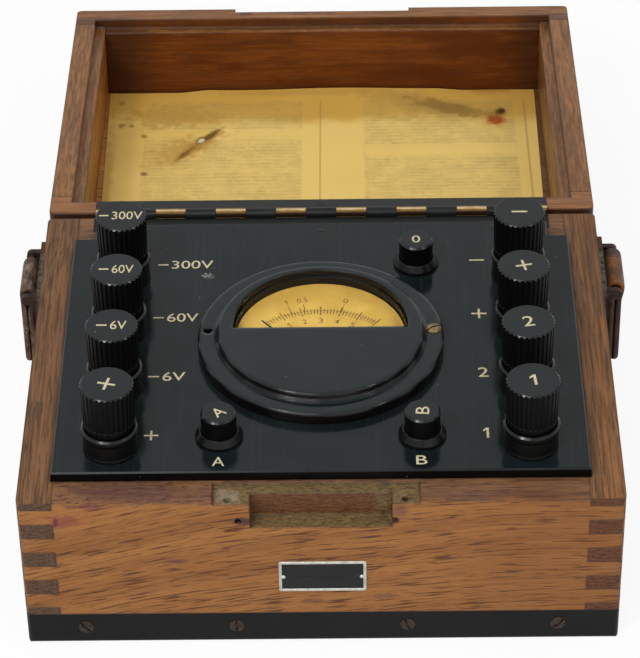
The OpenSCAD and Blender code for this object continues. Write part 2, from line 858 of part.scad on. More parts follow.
// Swings the shut lid's pieces open about the hinge pin
module opened() {
    translate([0, pin_y, pin_z]) rotate([-open_angle, 0, 0]) translate([0, -pin_y, -pin_z]) children();
}

// Boards of the lid as they stand when it is shut
module lid_frame() {
    translate([0, 0, lid_rim]) mirror([0, 0, 1]) children();
}

// Rebate that runs round the inside of the lid's rim
module lid_rebate() {
    translate([0, 0, lid_rim - eps]) linear_extrude(rebate_h + eps)
        square([case_w - 2 * (wall - rebate_w), case_d - 2 * (wall - rebate_w)], center = true);
}

module lid_envelope() {
    translate([0, 0, lid_rim]) linear_extrude(lid_wall_h) rounded(case_w, case_d, corner_r);
}

module lid_front() {
    color(oak) opened() difference() {
        intersection() {
            lid_frame() end_board(-1, lid_wall_h, 0);
            lid_envelope();
        }
        lid_rebate();
        translate([-striker_w / 2, -half_d - eps, lid_rim - eps])
            cube([striker_w, striker_d + eps, striker_h + eps]);
    }
}

module lid_rear() {
    color(oak) opened() difference() {
        intersection() {
            lid_frame() end_board(1, lid_wall_h, 0);
            lid_envelope();
        }
        lid_rebate();
        leaf_seat(lid_rim);
        barrel_space();
    }
}

module lid_side(sign) {
    color(oak) opened() difference() {
        intersection() {
            lid_frame() side_board(sign, lid_wall_h, 1);
            lid_envelope();
        }
        lid_rebate();
        leaf_seat(lid_rim);
        barrel_space();
    }
}

module lid_top() {
    color(oak) opened() translate([0, 0, lid_rim + lid_wall_h])
        round_slab(case_w, case_d, lid_top_t, corner_r, lid_round);
}

module lid_sheet() {
    inset = 2 * (wall + sheet_margin);
    color("wheat") opened() translate([0, 0, lid_rim + lid_wall_h - sheet_t])
        linear_extrude(sheet_t) square([case_w - inset, case_d - inset], center = true);
}

module hinge_lid() {
    color(black) opened() leaf(lid_rim, 1);
}

base_front();
base_rear();
base_side(-1);  // base_left
base_side(1);  // base_right
tray();
panel();
panel_cleat(-1);  // cleat_left
panel_cleat(1);  // cleat_right
corner_block(-1);  // corner_block_left
corner_block(1);  // corner_block_right
hinge_base();
hinge_pin();
terminal_collars();
studs();
button_collars();
contacts();
resistors();
meter_case();
meter_cover();
meter_glass();
dial();
movement_plate();
magnet();
pole_shoes();
core();
bridge();
coil();
pointer();
bracket(-1);  // bracket_left
bracket(1);  // bracket_right
strap(-1);  // strap_left
strap(1);  // strap_right
lid_front();
lid_rear();
lid_side(-1);  // lid_left
lid_side(1);  // lid_right
lid_top();
lid_sheet();
hinge_lid();
for (side = SIDES, row = ROWS) {
    translate(term_place(side, row)) knob();
    translate(term_place(side, row)) washer();
}
for (n = BUTTONS) translate(button_place(n)) button();
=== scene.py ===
# %% [markdown]
# # A voltmeter in an oak case
# The solids come packed from the CAD step and already stand where they belong. This lesson dresses them:
# it mixes a finish for each material, adds the small pieces that were left out of the solids, such as
# screws, marks and straps, and sets the light and the camera.
# All sizes below are in millimetres, and one factor turns them into Blender's metres.

# %% Load the solids
import math

import bmesh
import bpy
import numpy as np
from mathutils import Matrix, Vector


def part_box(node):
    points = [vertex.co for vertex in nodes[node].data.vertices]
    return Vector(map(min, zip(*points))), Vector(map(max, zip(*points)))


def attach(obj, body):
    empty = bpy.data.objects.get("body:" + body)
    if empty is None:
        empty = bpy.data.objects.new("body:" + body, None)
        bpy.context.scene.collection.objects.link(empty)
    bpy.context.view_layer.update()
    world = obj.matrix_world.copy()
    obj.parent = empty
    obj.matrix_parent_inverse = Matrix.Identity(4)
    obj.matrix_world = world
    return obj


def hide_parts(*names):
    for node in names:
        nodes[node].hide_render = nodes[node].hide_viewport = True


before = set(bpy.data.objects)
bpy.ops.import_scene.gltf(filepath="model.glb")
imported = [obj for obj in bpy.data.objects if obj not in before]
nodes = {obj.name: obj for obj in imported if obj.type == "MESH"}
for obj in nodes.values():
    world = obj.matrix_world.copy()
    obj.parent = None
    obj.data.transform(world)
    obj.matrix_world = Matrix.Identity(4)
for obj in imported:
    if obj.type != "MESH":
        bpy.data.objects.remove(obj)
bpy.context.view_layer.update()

# %% [markdown]
# ## Places on the object
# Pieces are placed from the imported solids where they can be, so that they follow a change of size. The box
# of a node gives its lowest and highest corner, and a few named places are all that the rest needs.

# %% Measure the solids
MM = 0.001


def corners(node):
    """Lowest and highest corner of a solid, in millimetres."""
    low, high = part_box(node)
    return np.array(low) / MM, np.array(high) / MM


def middle(node):
    """Centre of a solid's box, in millimetres."""
    low, high = corners(node)
    return (low + high) / 2


case_low, case_high = corners("tray")
front_y, back_y = case_low[1], case_high[1]
rim_z = corners("base_front")[1][2]
panel_z = corners("panel")[1][2]
dial_z = corners("dial")[1][2]
pin_y, pin_z = middle("hinge_pin")[1:]
meter_x, meter_y = middle("meter_case")[:2]
print("rim", rim_z.round(2), "panel face", panel_z.round(2), "pin", pin_y.round(2), pin_z.round(2))

# %% [markdown]
# ## Short words for shader nodes
# A finish is a small network of shader nodes. Adding nodes by hand takes many lines, so helpers do it: one
# adds any node and fills its sockets, and others are one common step each, such as a smooth step, a sum, a
# mix of two colours or a noise. Each helper stands in the cell that first needs it. An effect that several
# finishes share becomes a node group, which is a network with named inputs and outputs.

# %% Nodes and effects
def put(tree, kind, values=None, **options):
    """Adds a shader node, sets its options, then fills its inputs with numbers, colours or links."""
    made = tree.nodes.new("ShaderNode" + kind)
    for option, value in options.items():
        setattr(made, option, value)
    for key, value in (values or {}).items():
        socket = made.inputs[key]
        if isinstance(value, bpy.types.NodeSocket):
            tree.links.new(value, socket)
        else:
            socket.default_value = value
    return made


def effect(name, takes, gives):
    """Starts a node group and returns its tree, its inputs and its outputs."""
    tree = bpy.data.node_groups.new(name, "ShaderNodeTree")
    kinds = {"number": "NodeSocketFloat", "colour": "NodeSocketColor", "vector": "NodeSocketVector"}
    for label, kind, start in takes:
        socket = tree.interface.new_socket(label, in_out="INPUT", socket_type=kinds[kind])
        if start is not None:
            socket.default_value = start
    for label, kind in gives:
        tree.interface.new_socket(label, in_out="OUTPUT", socket_type=kinds[kind])
    return tree, tree.nodes.new("NodeGroupInput").outputs, tree.nodes.new("NodeGroupOutput").inputs


def feed(tree, sockets, **outputs):
    """Links outputs to sockets by name."""
    for label, output in outputs.items():
        tree.links.new(output, sockets[label.replace("_", " ")])


print("helpers put, effect and feed")

# %% [markdown]
# ## Worn edges
# Old edges are rubbed round and take another tone. A bevel shader rounds each sharp edge a little, and where
# its direction leaves the true one, an edge is near. That needs no extra faces and works on every solid.

# %% Worn edges
def fade(tree, value, start, end, low=0.0, high=1.0):
    """Goes smoothly from low to high while the value goes from start to end."""
    values = {"Value": value, "From Min": start, "From Max": end, "To Min": low, "To Max": high}
    return put(tree, "MapRange", values, interpolation_type="SMOOTHSTEP").outputs[0]


def compare(tree, operation, first, second):
    """One number from two vectors, such as their distance."""
    return put(tree, "VectorMath", {0: first, 1: second}, operation=operation).outputs["Value"]


edge_group, takes, gives = effect(
    "worn edges", [("Radius", "number", 0.0006)], [("Normal", "vector"), ("Edge", "number")])
rounded_way = put(edge_group, "Bevel", {"Radius": takes["Radius"]}, samples=6).outputs[0]
true_way = put(edge_group, "NewGeometry").outputs["True Normal"]
closeness = compare(edge_group, "DOT_PRODUCT", rounded_way, true_way)
feed(edge_group, gives, Normal=rounded_way, Edge=fade(edge_group, closeness, 0.985, 0.8))


def worn_edges(tree, radius):
    """The rounded normal and the edge mask of edges worn over a radius in millimetres."""
    return put(tree, "Group", {"Radius": radius * MM}, node_tree=edge_group).outputs


print("effect", edge_group.name)

# %% [markdown]
# ## Specks
# Dust and flecks of old paint are small random dots. A Voronoi pattern gives each cell a centre and some
# luck: a dot is drawn where the centre is near, and only in a share of the cells. A wobble by noise keeps
# the dots from being round.

# %% Specks
def calc(tree, operation, first, second=0.0, third=0.0):
    """One sum on numbers."""
    return put(tree, "Math", {0: first, 1: second, 2: third}, operation=operation).outputs[0]


def times(tree, first, *others):
    """Multiplies numbers, one after another."""
    for other in others:
        first = calc(tree, "MULTIPLY", first, other)
    return first


def parts(tree, vector):
    """The three numbers of a vector."""
    return put(tree, "SeparateXYZ", {0: vector}).outputs


speck_group, takes, gives = effect(
    "specks",
    [("Place", "vector", None), ("Spacing", "number", 8.0), ("Size", "number", 0.08),
     ("Share", "number", 0.2)],
    [("Mask", "number")])
wobble_values = {"Vector": takes["Place"], "Scale": 1.3, "Detail": 2.0}
wobble_reach = (0.7, 0.7, 0.7)
wobble = put(speck_group, "TexNoise", wobble_values).outputs["Color"]
shifted = put(speck_group, "VectorMath", {0: wobble, 1: wobble_reach, 2: takes["Place"]},
              operation="MULTIPLY_ADD").outputs[0]
cells_per_mm = calc(speck_group, "DIVIDE", 1.0, takes["Spacing"])
cells = put(speck_group, "TexVoronoi", {"Vector": shifted, "Scale": cells_per_mm}).outputs
luck = parts(speck_group, cells["Color"])
dot = calc(speck_group, "LESS_THAN", cells["Distance"], times(speck_group, takes["Size"], luck[1]))
chosen = calc(speck_group, "LESS_THAN", luck[0], takes["Share"])
feed(speck_group, gives, Mask=times(speck_group, dot, chosen))


def specks(tree, place, spacing, size, share):
    """Mask of dots: spacing is in millimetres, size is a part of it, and share is a part of the cells."""
    values = {"Place": place, "Spacing": spacing, "Size": size, "Share": share}
    return put(tree, "Group", values, node_tree=speck_group).outputs[0]


print("effect", speck_group.name)

# %% [markdown]
# ## Stains
# Ink, soot and rust have left blots on the wood and the paper. A stain is an oval cloud round one place: the
# distance from its centre, in parts of its reach, is frayed by noise and faded out.

# %% Stains
def cloud(tree, place, scale, detail=2.0, roughness=0.5):
    """Soft noise from 0 to 1; place is in millimetres and scale is in waves per millimetre."""
    values = {"Vector": place, "Scale": scale, "Detail": detail, "Roughness": roughness}
    return put(tree, "TexNoise", values).outputs[0]


stain_group, takes, gives = effect(
    "stain",
    [("Place", "vector", None), ("Centre", "vector", (0, 0, 0)), ("Reach", "vector", (5, 5, 5)),
     ("Ragged", "number", 0.6), ("Grain", "number", 0.25)],
    [("Mask", "number")])
away = put(stain_group, "VectorMath", {0: takes["Place"], 1: takes["Centre"]},
           operation="SUBTRACT").outputs[0]
ratio = put(stain_group, "VectorMath", {0: away, 1: takes["Reach"]}, operation="DIVIDE").outputs[0]
from_centre = put(stain_group, "VectorMath", {0: ratio}, operation="LENGTH").outputs["Value"]
fray = calc(stain_group, "SUBTRACT", cloud(stain_group, takes["Place"], takes["Grain"], 3.0, 0.6), 0.5)
frayed = calc(stain_group, "MULTIPLY_ADD", fray, times(stain_group, takes["Ragged"], 3.0), from_centre)
feed(stain_group, gives, Mask=fade(stain_group, frayed, 1.1, 0.35))


def stain(tree, place, centre, reach, ragged, grain=0.25):
    """Mask of an oval stain; ragged says how far its border is frayed, and grain how finely."""
    values = {"Place": place, "Centre": centre, "Reach": reach, "Ragged": ragged, "Grain": grain}
    return put(tree, "Group", values, node_tree=stain_group).outputs[0]


print("effect", stain_group.name)

# %% [markdown]
# ## Oak grain
# Oak has broad bands, fine streaks and short dark pores, all along the board. Each is a noise that is drawn
# out along the first axis. The lines of a real board tilt and bow a little, so the place is bent first.

# %% Oak grain
def colour(red, green, blue):
    """A linear colour with full cover."""
    return (red, green, blue, 1.0)


def tint(tree, amount, under, over):
    """Lays one colour over another by an amount from 0 to 1."""
    return put(tree, "Mix", {0: amount, 6: under, 7: over}, data_type="RGBA").outputs[2]


def joined(tree, *numbers):
    """A vector of up to three numbers."""
    return put(tree, "CombineXYZ", dict(enumerate(numbers))).outputs[0]


def stretched(tree, place, along, across, third=None):
    """Scales a place differently along its first and its other two axes."""
    scale = (along, across, across if third is None else third)
    return put(tree, "VectorMath", {0: place, 1: scale}, operation="MULTIPLY").outputs[0]


def streaky(tree, place, along, across, detail=2.0, roughness=0.5, third=None):
    """Noise with its own waves per millimetre along the first axis and across it."""
    return cloud(tree, stretched(tree, place, along, across, third), 1.0, detail, roughness)


oak_group, takes, gives = effect(
    "oak grain",
    [("Place", "vector", None), ("Tilt", "number", 0.0), ("Bow", "number", 0.0), ("Pores", "number", 1.0),
     ("Pale", "colour", colour(0.4, 0.2, 0.08)), ("Deep", "colour", colour(0.2, 0.08, 0.03)),
     ("Pore", "colour", colour(0.062, 0.019, 0.0045))],
    [("Color", "colour"), ("Height", "number"), ("Lines", "number"), ("Pore", "number")])
along, across, through = parts(oak_group, takes["Place"])
slope = calc(oak_group, "MULTIPLY_ADD", takes["Bow"], along, takes["Tilt"])
straight = calc(oak_group, "SUBTRACT", across, times(oak_group, slope, along))
flat = joined(oak_group, along, straight, through)
drift = calc(oak_group, "SUBTRACT", streaky(oak_group, flat, 0.012, 0.04, 1.0), 0.5)
wavy = calc(oak_group, "MULTIPLY_ADD", drift, 5.0, straight)
bent_place = joined(oak_group, along, wavy, through)
bands = streaky(oak_group, bent_place, 0.004, 0.11)
streaks = streaky(oak_group, bent_place, 0.02, 0.8, 3.0, 0.6)
pore_rows = fade(oak_group, streaky(oak_group, bent_place, 0.009, 0.3, 0.0), 0.42, 0.6)
dashes = streaky(oak_group, bent_place, 0.085, 1.35, 1.0, 0.4)
limit = calc(oak_group, "MULTIPLY_ADD", pore_rows, -0.05, 0.595)
hole = fade(oak_group, calc(oak_group, "SUBTRACT", dashes, limit), 0.0, 0.08)
hair = fade(oak_group, streaky(oak_group, bent_place, 0.2, 2.6, 1.0), 0.57, 0.72, 0.0, 0.5)
hole = times(oak_group, calc(oak_group, "MAXIMUM", hole, hair), takes["Pores"])
lined = calc(oak_group, "MULTIPLY_ADD", streaks, 0.6, times(oak_group, bands, 0.5))
lines = fade(oak_group, lined, 0.35, 0.75)
wood = tint(oak_group, lines, takes["Pale"], takes["Deep"])
wood = tint(oak_group, times(oak_group, hole, 0.85), wood, takes["Pore"])
wood_height = calc(oak_group, "MULTIPLY_ADD", hole, -0.7, times(oak_group, streaks, 0.3))
feed(oak_group, gives, Color=wood, Height=wood_height, Lines=lines, Pore=hole)
print("effect", oak_group.name)

# %% [markdown]
# ## Ends, rims and bare wood
# A board doesn't look the same all over. The ends of the fingers show end grain, which is darker. The rims
# have been handled until they are dull and dark, most of all over the front edge. In the seat of the lost
# lock the wood is bare and fibrous. Each of these is a tone and a mask of its own.

# %% Ends and rims
def grade(tree, value, start, end, first, second):
    """Goes smoothly from one colour to another while the value goes from start to end."""
    return tint(tree, fade(tree, value, start, end), first, second)


def end_grain(tree, board, x):
    """Cut ends of the fingers: fine level lines and specks, greyer to the left and redder to the right."""
    layers = streaky(tree, board, 0.2, 1.7, 3.0, 0.7, third=0.3)
    dots = cloud(tree, board, 1.6, 2.0, 0.6)
    mixed = calc(tree, "MULTIPLY_ADD", dots, 0.4, times(tree, layers, 0.6))
    light = grade(tree, x, -40, 40, colour(0.108, 0.053, 0.028), colour(0.128, 0.039, 0.012))
    return grade(tree, mixed, 0.38, 0.58, colour(0.026, 0.012, 0.006), light)


def looking_up(tree, worn, dirt):
    """How far the rounded surface looks up, frayed by dirt."""
    rounded = put(tree, "VectorTransform", {0: worn["Normal"]}, vector_type="NORMAL",
                  convert_from="WORLD", convert_to="OBJECT").outputs[0]
    return fade(tree, calc(tree, "MULTIPLY_ADD", dirt, 0.9, parts(tree, rounded)[2]), 0.85, 1.25)


def over_front_edge(tree, board, spot, looks):
    """How far the handled tone comes over the front edge: the way back less the way down, plus noise."""
    back = calc(tree, "SUBTRACT", spot[1], front_y)
    up = calc(tree, "SUBTRACT", spot[2], rim_z)
    fray = streaky(tree, board, 0.06, 0.3, 5.0, 0.65)
    reach = calc(tree, "MULTIPLY_ADD", fray, 10.0, calc(tree, "ADD", back, up))
    return times(tree, fade(tree, reach, 4.0, 6.2), fade(tree, calc(tree, "ABSOLUTE", looks[0]), 0.6, 0.4))


def rim_tone(tree, rim, run, board, grain, dirt):
    """The two tones of a handled rim in fine lines, with dirt and dark pores."""
    fine = streaky(tree, board, 0.06 if run == "x" else 0.028, 1.0, 5.0, 0.7)
    lines = calc(tree, "MULTIPLY_ADD", fine, 0.8, times(tree, grain["Lines"], 0.2))
    tone = grade(tree, lines, 0.34, 0.64, *rim)
    tone = tint(tree, fade(tree, dirt, 0.55, 0.75, 0.0, 0.45), tone, colour(0.085, 0.048, 0.028))
    return tint(tree, times(tree, grain["Pore"], 0.65), tone, colour(0.042, 0.02, 0.01))


print("tones of ends and rims")


# %% Inside of the lid
def lid_inside(tree, board, spot, looks, inner, pale, deep):
    """Pale and deep tone of a lid board, with other tones in patches where it looks to the lid's middle."""
    axis, centre, inner_pale, inner_deep = inner
    side = calc(tree, "SIGN", calc(tree, "SUBTRACT", centre, spot[axis]))
    inwards = fade(tree, times(tree, looks[axis], side), 0.4, 0.6)
    patchy = grade(tree, streaky(tree, board, 0.03, 0.11, 5.0, 0.65), 0.42, 0.62, inner_pale, inner_deep)
    return tint(tree, inwards, pale, patchy), tint(tree, inwards, deep, inner_deep)


print("tones of the lid's inside")


# %% Bare wood
def within(tree, value, low, high, soft, soft_high=None):
    """1 between two limits and 0 outside, with a smooth step of a given width inside each limit."""
    soft_high = soft if soft_high is None else soft_high
    return times(tree, fade(tree, value, low, low + soft), fade(tree, value, high, high - soft_high))


def bare_wood(tree, board, place, spot, seat, under):
    """Fibrous wood in the box between a seat's two corners: a red wall, paler steps, grime and a flake."""
    low, high = seat
    inside = 1.0
    for axis in range(3):
        inside = times(tree, inside, within(tree, spot[axis], low[axis] - 0.15, high[axis] + 0.15, 0.3))
    fibres = fade(tree, streaky(tree, board, 0.4, 1.3, 5.0, 0.8), 0.3, 0.7)
    wall = tint(tree, fibres, colour(0.05, 0.02, 0.008), colour(0.16, 0.062, 0.022))
    step_tone = tint(tree, fibres, colour(0.055, 0.032, 0.013), colour(0.215, 0.138, 0.056))
    steps = calc(tree, "MAXIMUM", fade(tree, spot[2], high[2] - 1.9, high[2] - 1.5),
                 fade(tree, spot[2], low[2] + 2.6, low[2] + 1.0))
    rubbed_places = [((high[0] - 12, front_y + 4, rim_z - 6), (4, 8, 8)),
                     ((low[0] + 7, front_y + 3, rim_z - 1.4), (6, 6, 3))]
    for centre, reach in rubbed_places:
        steps = calc(tree, "MAXIMUM", steps, stain(tree, place, centre, reach, 0.7, 0.5))
    tone = tint(tree, steps, wall, step_tone)
    grime = fade(tree, cloud(tree, place, 0.55, 4.0, 0.7), 0.52, 0.68, 0.0, 0.7)
    tone = tint(tree, grime, tone, colour(0.045, 0.026, 0.012))
    flaked = stain(tree, place, (low[0] + 5, front_y + 4, rim_z - 1), (5, 6, 6), 0.7, 0.45)
    tone = tint(tree, times(tree, flaked, 0.45), tone, colour(0.34, 0.29, 0.2))
    return tint(tree, inside, under, tone)


print("tones of bare wood")

# %% [markdown]
# ## Starting a finish
# Each material starts from one Principled shader, which stands for most real surfaces. Its patterns read
# Object coordinates, so that they stay on the piece when it moves. Fine relief, such as pores and dents, is
# only a bump: it would need far too many faces as a shape.

# %% Finish, place and bump
def finish(name, **plain):
    """Starts a material with a Principled shader whose plain sockets are set by name."""
    material = bpy.data.materials.new(name)
    material.use_nodes = True
    shader = material.node_tree.nodes["Principled BSDF"]
    for label, value in plain.items():
        shader.inputs[label.replace("_", " ")].default_value = value
    return material, material.node_tree, shader


def here(tree):
    """The place on the object, in millimetres."""
    seen = put(tree, "TexCoord").outputs["Object"]
    return put(tree, "VectorMath", {0: seen, "Scale": 1 / MM}, operation="SCALE").outputs[0]


def facing(tree):
    """The way that the surface looks."""
    return put(tree, "TexCoord").outputs["Normal"]


def bump(tree, shader, height, depth, normal=None):
    """Raises the surface by height times depth, in millimetres."""
    values = {"Height": height, "Distance": depth * MM, "Strength": 1.0}
    if normal is not None:
        values["Normal"] = normal
    feed(tree, shader.inputs, Normal=put(tree, "Bump", values).outputs[0])


print("helpers finish, here, facing and bump")

# %% [markdown]
# ## Oak boards
# The case is of old waxed oak. Each board's grain runs along its length, so the grain gets the place with its
# axes swapped until the first one follows the board. One function makes every board's finish, and what is
# special to a board, such as a soiled strip or stains, is switched on by name.

# %% Oak finish
pale_oak, deep_oak = colour(0.315, 0.13, 0.034), colour(0.2, 0.073, 0.0165)
board_axes = {"x": (0, 2, 1), "y": (1, 2, 0)}


def oak(name, run, rim, tilt=0.0, bow=0.0, pores=1.0, gloss=0.5, stains=(), stained_up=False,
        worn_front=False, seat=None, inner=None, gap_shade=None):
    """Oak with its grain along axis run, and with the two tones of a rim where it looks up.

    stains are (centre, reach, dye, amount, ragged), and stained_up keeps them on faces that look up.
    worn_front brings the rim's tones over the front edge, and seat is a box of bare wood. inner is the axis,
    the middle and the two tones of faces that look to the middle of the lid. The last argument is two heights
    between which plain wood goes dark: painted shade in the gap between lid and base.
    """
    material, tree, shader = finish(name, Specular_IOR_Level=0.25)
    place = here(tree)
    spot, looks = parts(tree, place), parts(tree, facing(tree))
    order = board_axes[run]
    board = joined(tree, *(spot[axis] for axis in order))
    pale, deep = pale_oak, deep_oak
    # Painted shade: the lid's wall at the hinge goes dark near its rim, where it lies in the gap to the base.
    if gap_shade is not None:
        dark = fade(tree, spot[2], *gap_shade)
        pale = tint(tree, dark, pale, colour(0.05, 0.02, 0.009))
        deep = tint(tree, dark, deep, colour(0.028, 0.011, 0.005))
    if inner is not None:
        pale, deep = lid_inside(tree, board, spot, looks, inner, pale, deep)
    values = {"Place": board, "Tilt": tilt, "Bow": bow, "Pores": pores, "Pale": pale, "Deep": deep}
    grain = put(tree, "Group", values, node_tree=oak_group).outputs
    worn = worn_edges(tree, 1.3)
    cut_end = fade(tree, calc(tree, "ABSOLUTE", looks[order[0]]), 0.6, 0.8)
    shade = tint(tree, cut_end, grain["Color"], end_grain(tree, board, spot[0]))
    dirt = streaky(tree, board, 0.05, 0.3, 4.0, 0.65)
    rubbed = over_front_edge(tree, board, spot, looks) if worn_front else looking_up(tree, worn, dirt)
    shade = tint(tree, rubbed, shade, rim_tone(tree, rim, run, board, grain, dirt))
    if seat is not None:
        shade = bare_wood(tree, board, place, spot, seat, shade)
    dark_edge = times(tree, worn["Edge"], fade(tree, cloud(tree, place, 0.35, 3.0), 0.3, 0.6, 0.15, 0.75))
    shade = tint(tree, dark_edge, shade, colour(0.055, 0.027, 0.015))
    for centre, reach, dye, amount, ragged in stains:
        mask = stain(tree, place, centre, reach, ragged)
        if stained_up:
            mask = times(tree, mask, fade(tree, looks[2], 0.4, 0.6))
        shade = tint(tree, times(tree, mask, amount), shade, dye)
    chips = specks(tree, place, spacing=15.0, size=0.05, share=0.2)
    shade = tint(tree, times(tree, chips, 0.6), shade, colour(0.55, 0.48, 0.38))
    rough = fade(tree, streaky(tree, board, 0.05, 0.4, 3.0), 0.2, 0.8, gloss - 0.1, gloss + 0.15)
    feed(tree, shader.inputs, Base_Color=shade, Roughness=rough)
    bump(tree, shader, grain["Height"], 0.06, worn["Normal"])
    return material


print("oak with grain along", *board_axes)

# %% [markdown]
# ## Boards of the base
# The front board is the one that is seen best. It has ink and purple blots, a darker right end and the lock's
# seat. The side boards differ only in the tones of their rims, and the inner cleats and blocks share them.

# %% Base boards
def dress(material, *names):
    """Gives solids a finish."""
    for name in names:
        slots = nodes[name].data.materials
        slots.clear()
        slots.append(material)
    print(material.name, "on", ", ".join(names))


ink, purple = colour(0.1, 0.022, 0.032), colour(0.085, 0.032, 0.036)
front_rim = (colour(0.215, 0.1, 0.042), colour(0.115, 0.055, 0.026))
left_rim = (colour(0.215, 0.098, 0.036), colour(0.078, 0.036, 0.015))
right_rim = (colour(0.25, 0.108, 0.034), colour(0.096, 0.04, 0.0135))
front_stains = [
    ((82, front_y, 30), (45, 6, 60), colour(0.16, 0.052, 0.011), 0.3, 0.2),
    ((-66, front_y + 5, rim_z), (22, 7, 3), purple, 0.5, 0.6),
    ((-40, front_y + 3, rim_z), (14, 5, 2.5), ink, 0.3, 0.6),
    ((-79, front_y, rim_z - 1.5), (9, 4, 1.4), ink, 0.7, 0.6),
    ((-86.5, front_y, rim_z - 8), (6.5, 4, 3.6), colour(0.21, 0.05, 0.034), 0.8, 0.5),
    ((-89.5, front_y, rim_z - 8.5), (1.0, 4, 2.6), ink, 0.9, 0.3),
    ((-50, front_y, rim_z - 27), (5.0, 4, 1.4), ink, 0.75, 0.4),
    ((21, front_y, rim_z - 44), (6, 4, 1.5), purple, 0.5, 0.6),
    ((-3, front_y, rim_z - 46), (6, 4, 1.8), purple, 0.4, 0.6),
    ((60, front_y + 4, rim_z), (24, 5, 2), purple, 0.25, 0.6),
    ((-26.0, front_y, rim_z - 8.8), (5.5, 3, 2.2), colour(0.05, 0.016, 0.02), 0.9, 0.35),
    ((26.5, front_y, rim_z - 4.6), (3.4, 3, 4.0), purple, 0.55, 0.4),
    ((24.5, front_y, rim_z - 9.2), (2.6, 3, 1.8), colour(0.05, 0.018, 0.016), 0.8, 0.35),
]
lock_seat = ((-36.6, front_y + 0.35, rim_z - 12.6), (33.4, front_y + 10.6, rim_z - 0.4))
dress(oak("oak front", "x", front_rim, tilt=0.143, bow=-0.00068, stains=front_stains, worn_front=True,
          seat=lock_seat), "base_front")
dress(oak("oak back", "x", front_rim, tilt=-0.03, bow=0.0002), "base_rear")
dress(oak("oak left side", "y", left_rim, tilt=0.02, bow=0.0003),
      "base_left", "cleat_left", "cleat_right", "corner_block_left")
dress(oak("oak right side", "y", right_rim, tilt=-0.02, bow=0.0002), "base_right", "corner_block_right")

# %% [markdown]
# ## Boards of the lid
# Inside the lid the wood has kept a warm varnish: it is deep red on the two short walls and orange on the
# long ones, the right one being duller. The far corners are darkened by painted shade, the wall at the hinge
# is painted dark near its rim as shade in the gap to the base, and the top board has a dark strip along its
# right edge, on the inner face only.

# %% Lid boards
lid_wall = 12.0
lid_middle = middle("lid_top")
lid_rim_z = corners("lid_rear")[1][2]
far_face = corners("lid_front")[1][1] - lid_wall
soot_and_shade = colour(0.028, 0.01, 0.004)
far_rim = (colour(0.32, 0.131, 0.038), colour(0.16, 0.06, 0.0155))
long_rim = (colour(0.28, 0.12, 0.035), colour(0.127, 0.052, 0.0145))
board_tones = (colour(0.5, 0.23, 0.06), colour(0.34, 0.14, 0.032))
short_inside = (1, lid_middle[1], colour(0.175, 0.045, 0.0053), colour(0.088, 0.019, 0.0021))
left_inside = (0, lid_middle[0], colour(0.42, 0.16, 0.028), colour(0.22, 0.068, 0.01))
right_inside = (0, lid_middle[0], colour(0.24, 0.105, 0.034), colour(0.12, 0.05, 0.016))
far_stains = [
    # The first two stains darken the far corners, which is painted shade.
    ((-93, far_face, 40), (28, 9, 60), soot_and_shade, 0.7, 0.15),
    ((93, far_face, 40), (20, 9, 60), soot_and_shade, 0.65, 0.15),
    ((0, far_face + 2.6, 50), (160, 2.6, 4), colour(0.06, 0.024, 0.01), 0.6, 0.6),
    ((-32, far_face + 10, lid_rim_z - 12), (4, 5, 8), soot_and_shade, 0.8, 0.5),
    ((-6, far_face + 10, lid_rim_z - 12), (14, 4, 7), soot_and_shade, 0.45, 0.8),
]
strip_stain = [((96, lid_middle[1], lid_middle[2]), (14, 400, 60), colour(0.07, 0.034, 0.014), 0.9, 0.1)]
short_wall = dict(tilt=0.02, pores=0.4, gloss=0.4, inner=short_inside)
long_wall = dict(pores=0.6, gloss=0.4)
dress(oak("oak lid cross", "x", far_rim, stains=far_stains, **short_wall), "lid_front")
dress(oak("oak lid at hinge", "x", far_rim, gap_shade=(lid_rim_z - 9, lid_rim_z - 5), **short_wall), "lid_rear")
dress(oak("oak lid left", "y", long_rim, inner=left_inside, **long_wall), "lid_left")
dress(oak("oak lid right", "y", long_rim, inner=right_inside, **long_wall), "lid_right")
dress(oak("oak lid top", "x", board_tones, tilt=0.03, bow=0.0003, stains=strip_stain, stained_up=True),
      "lid_top")
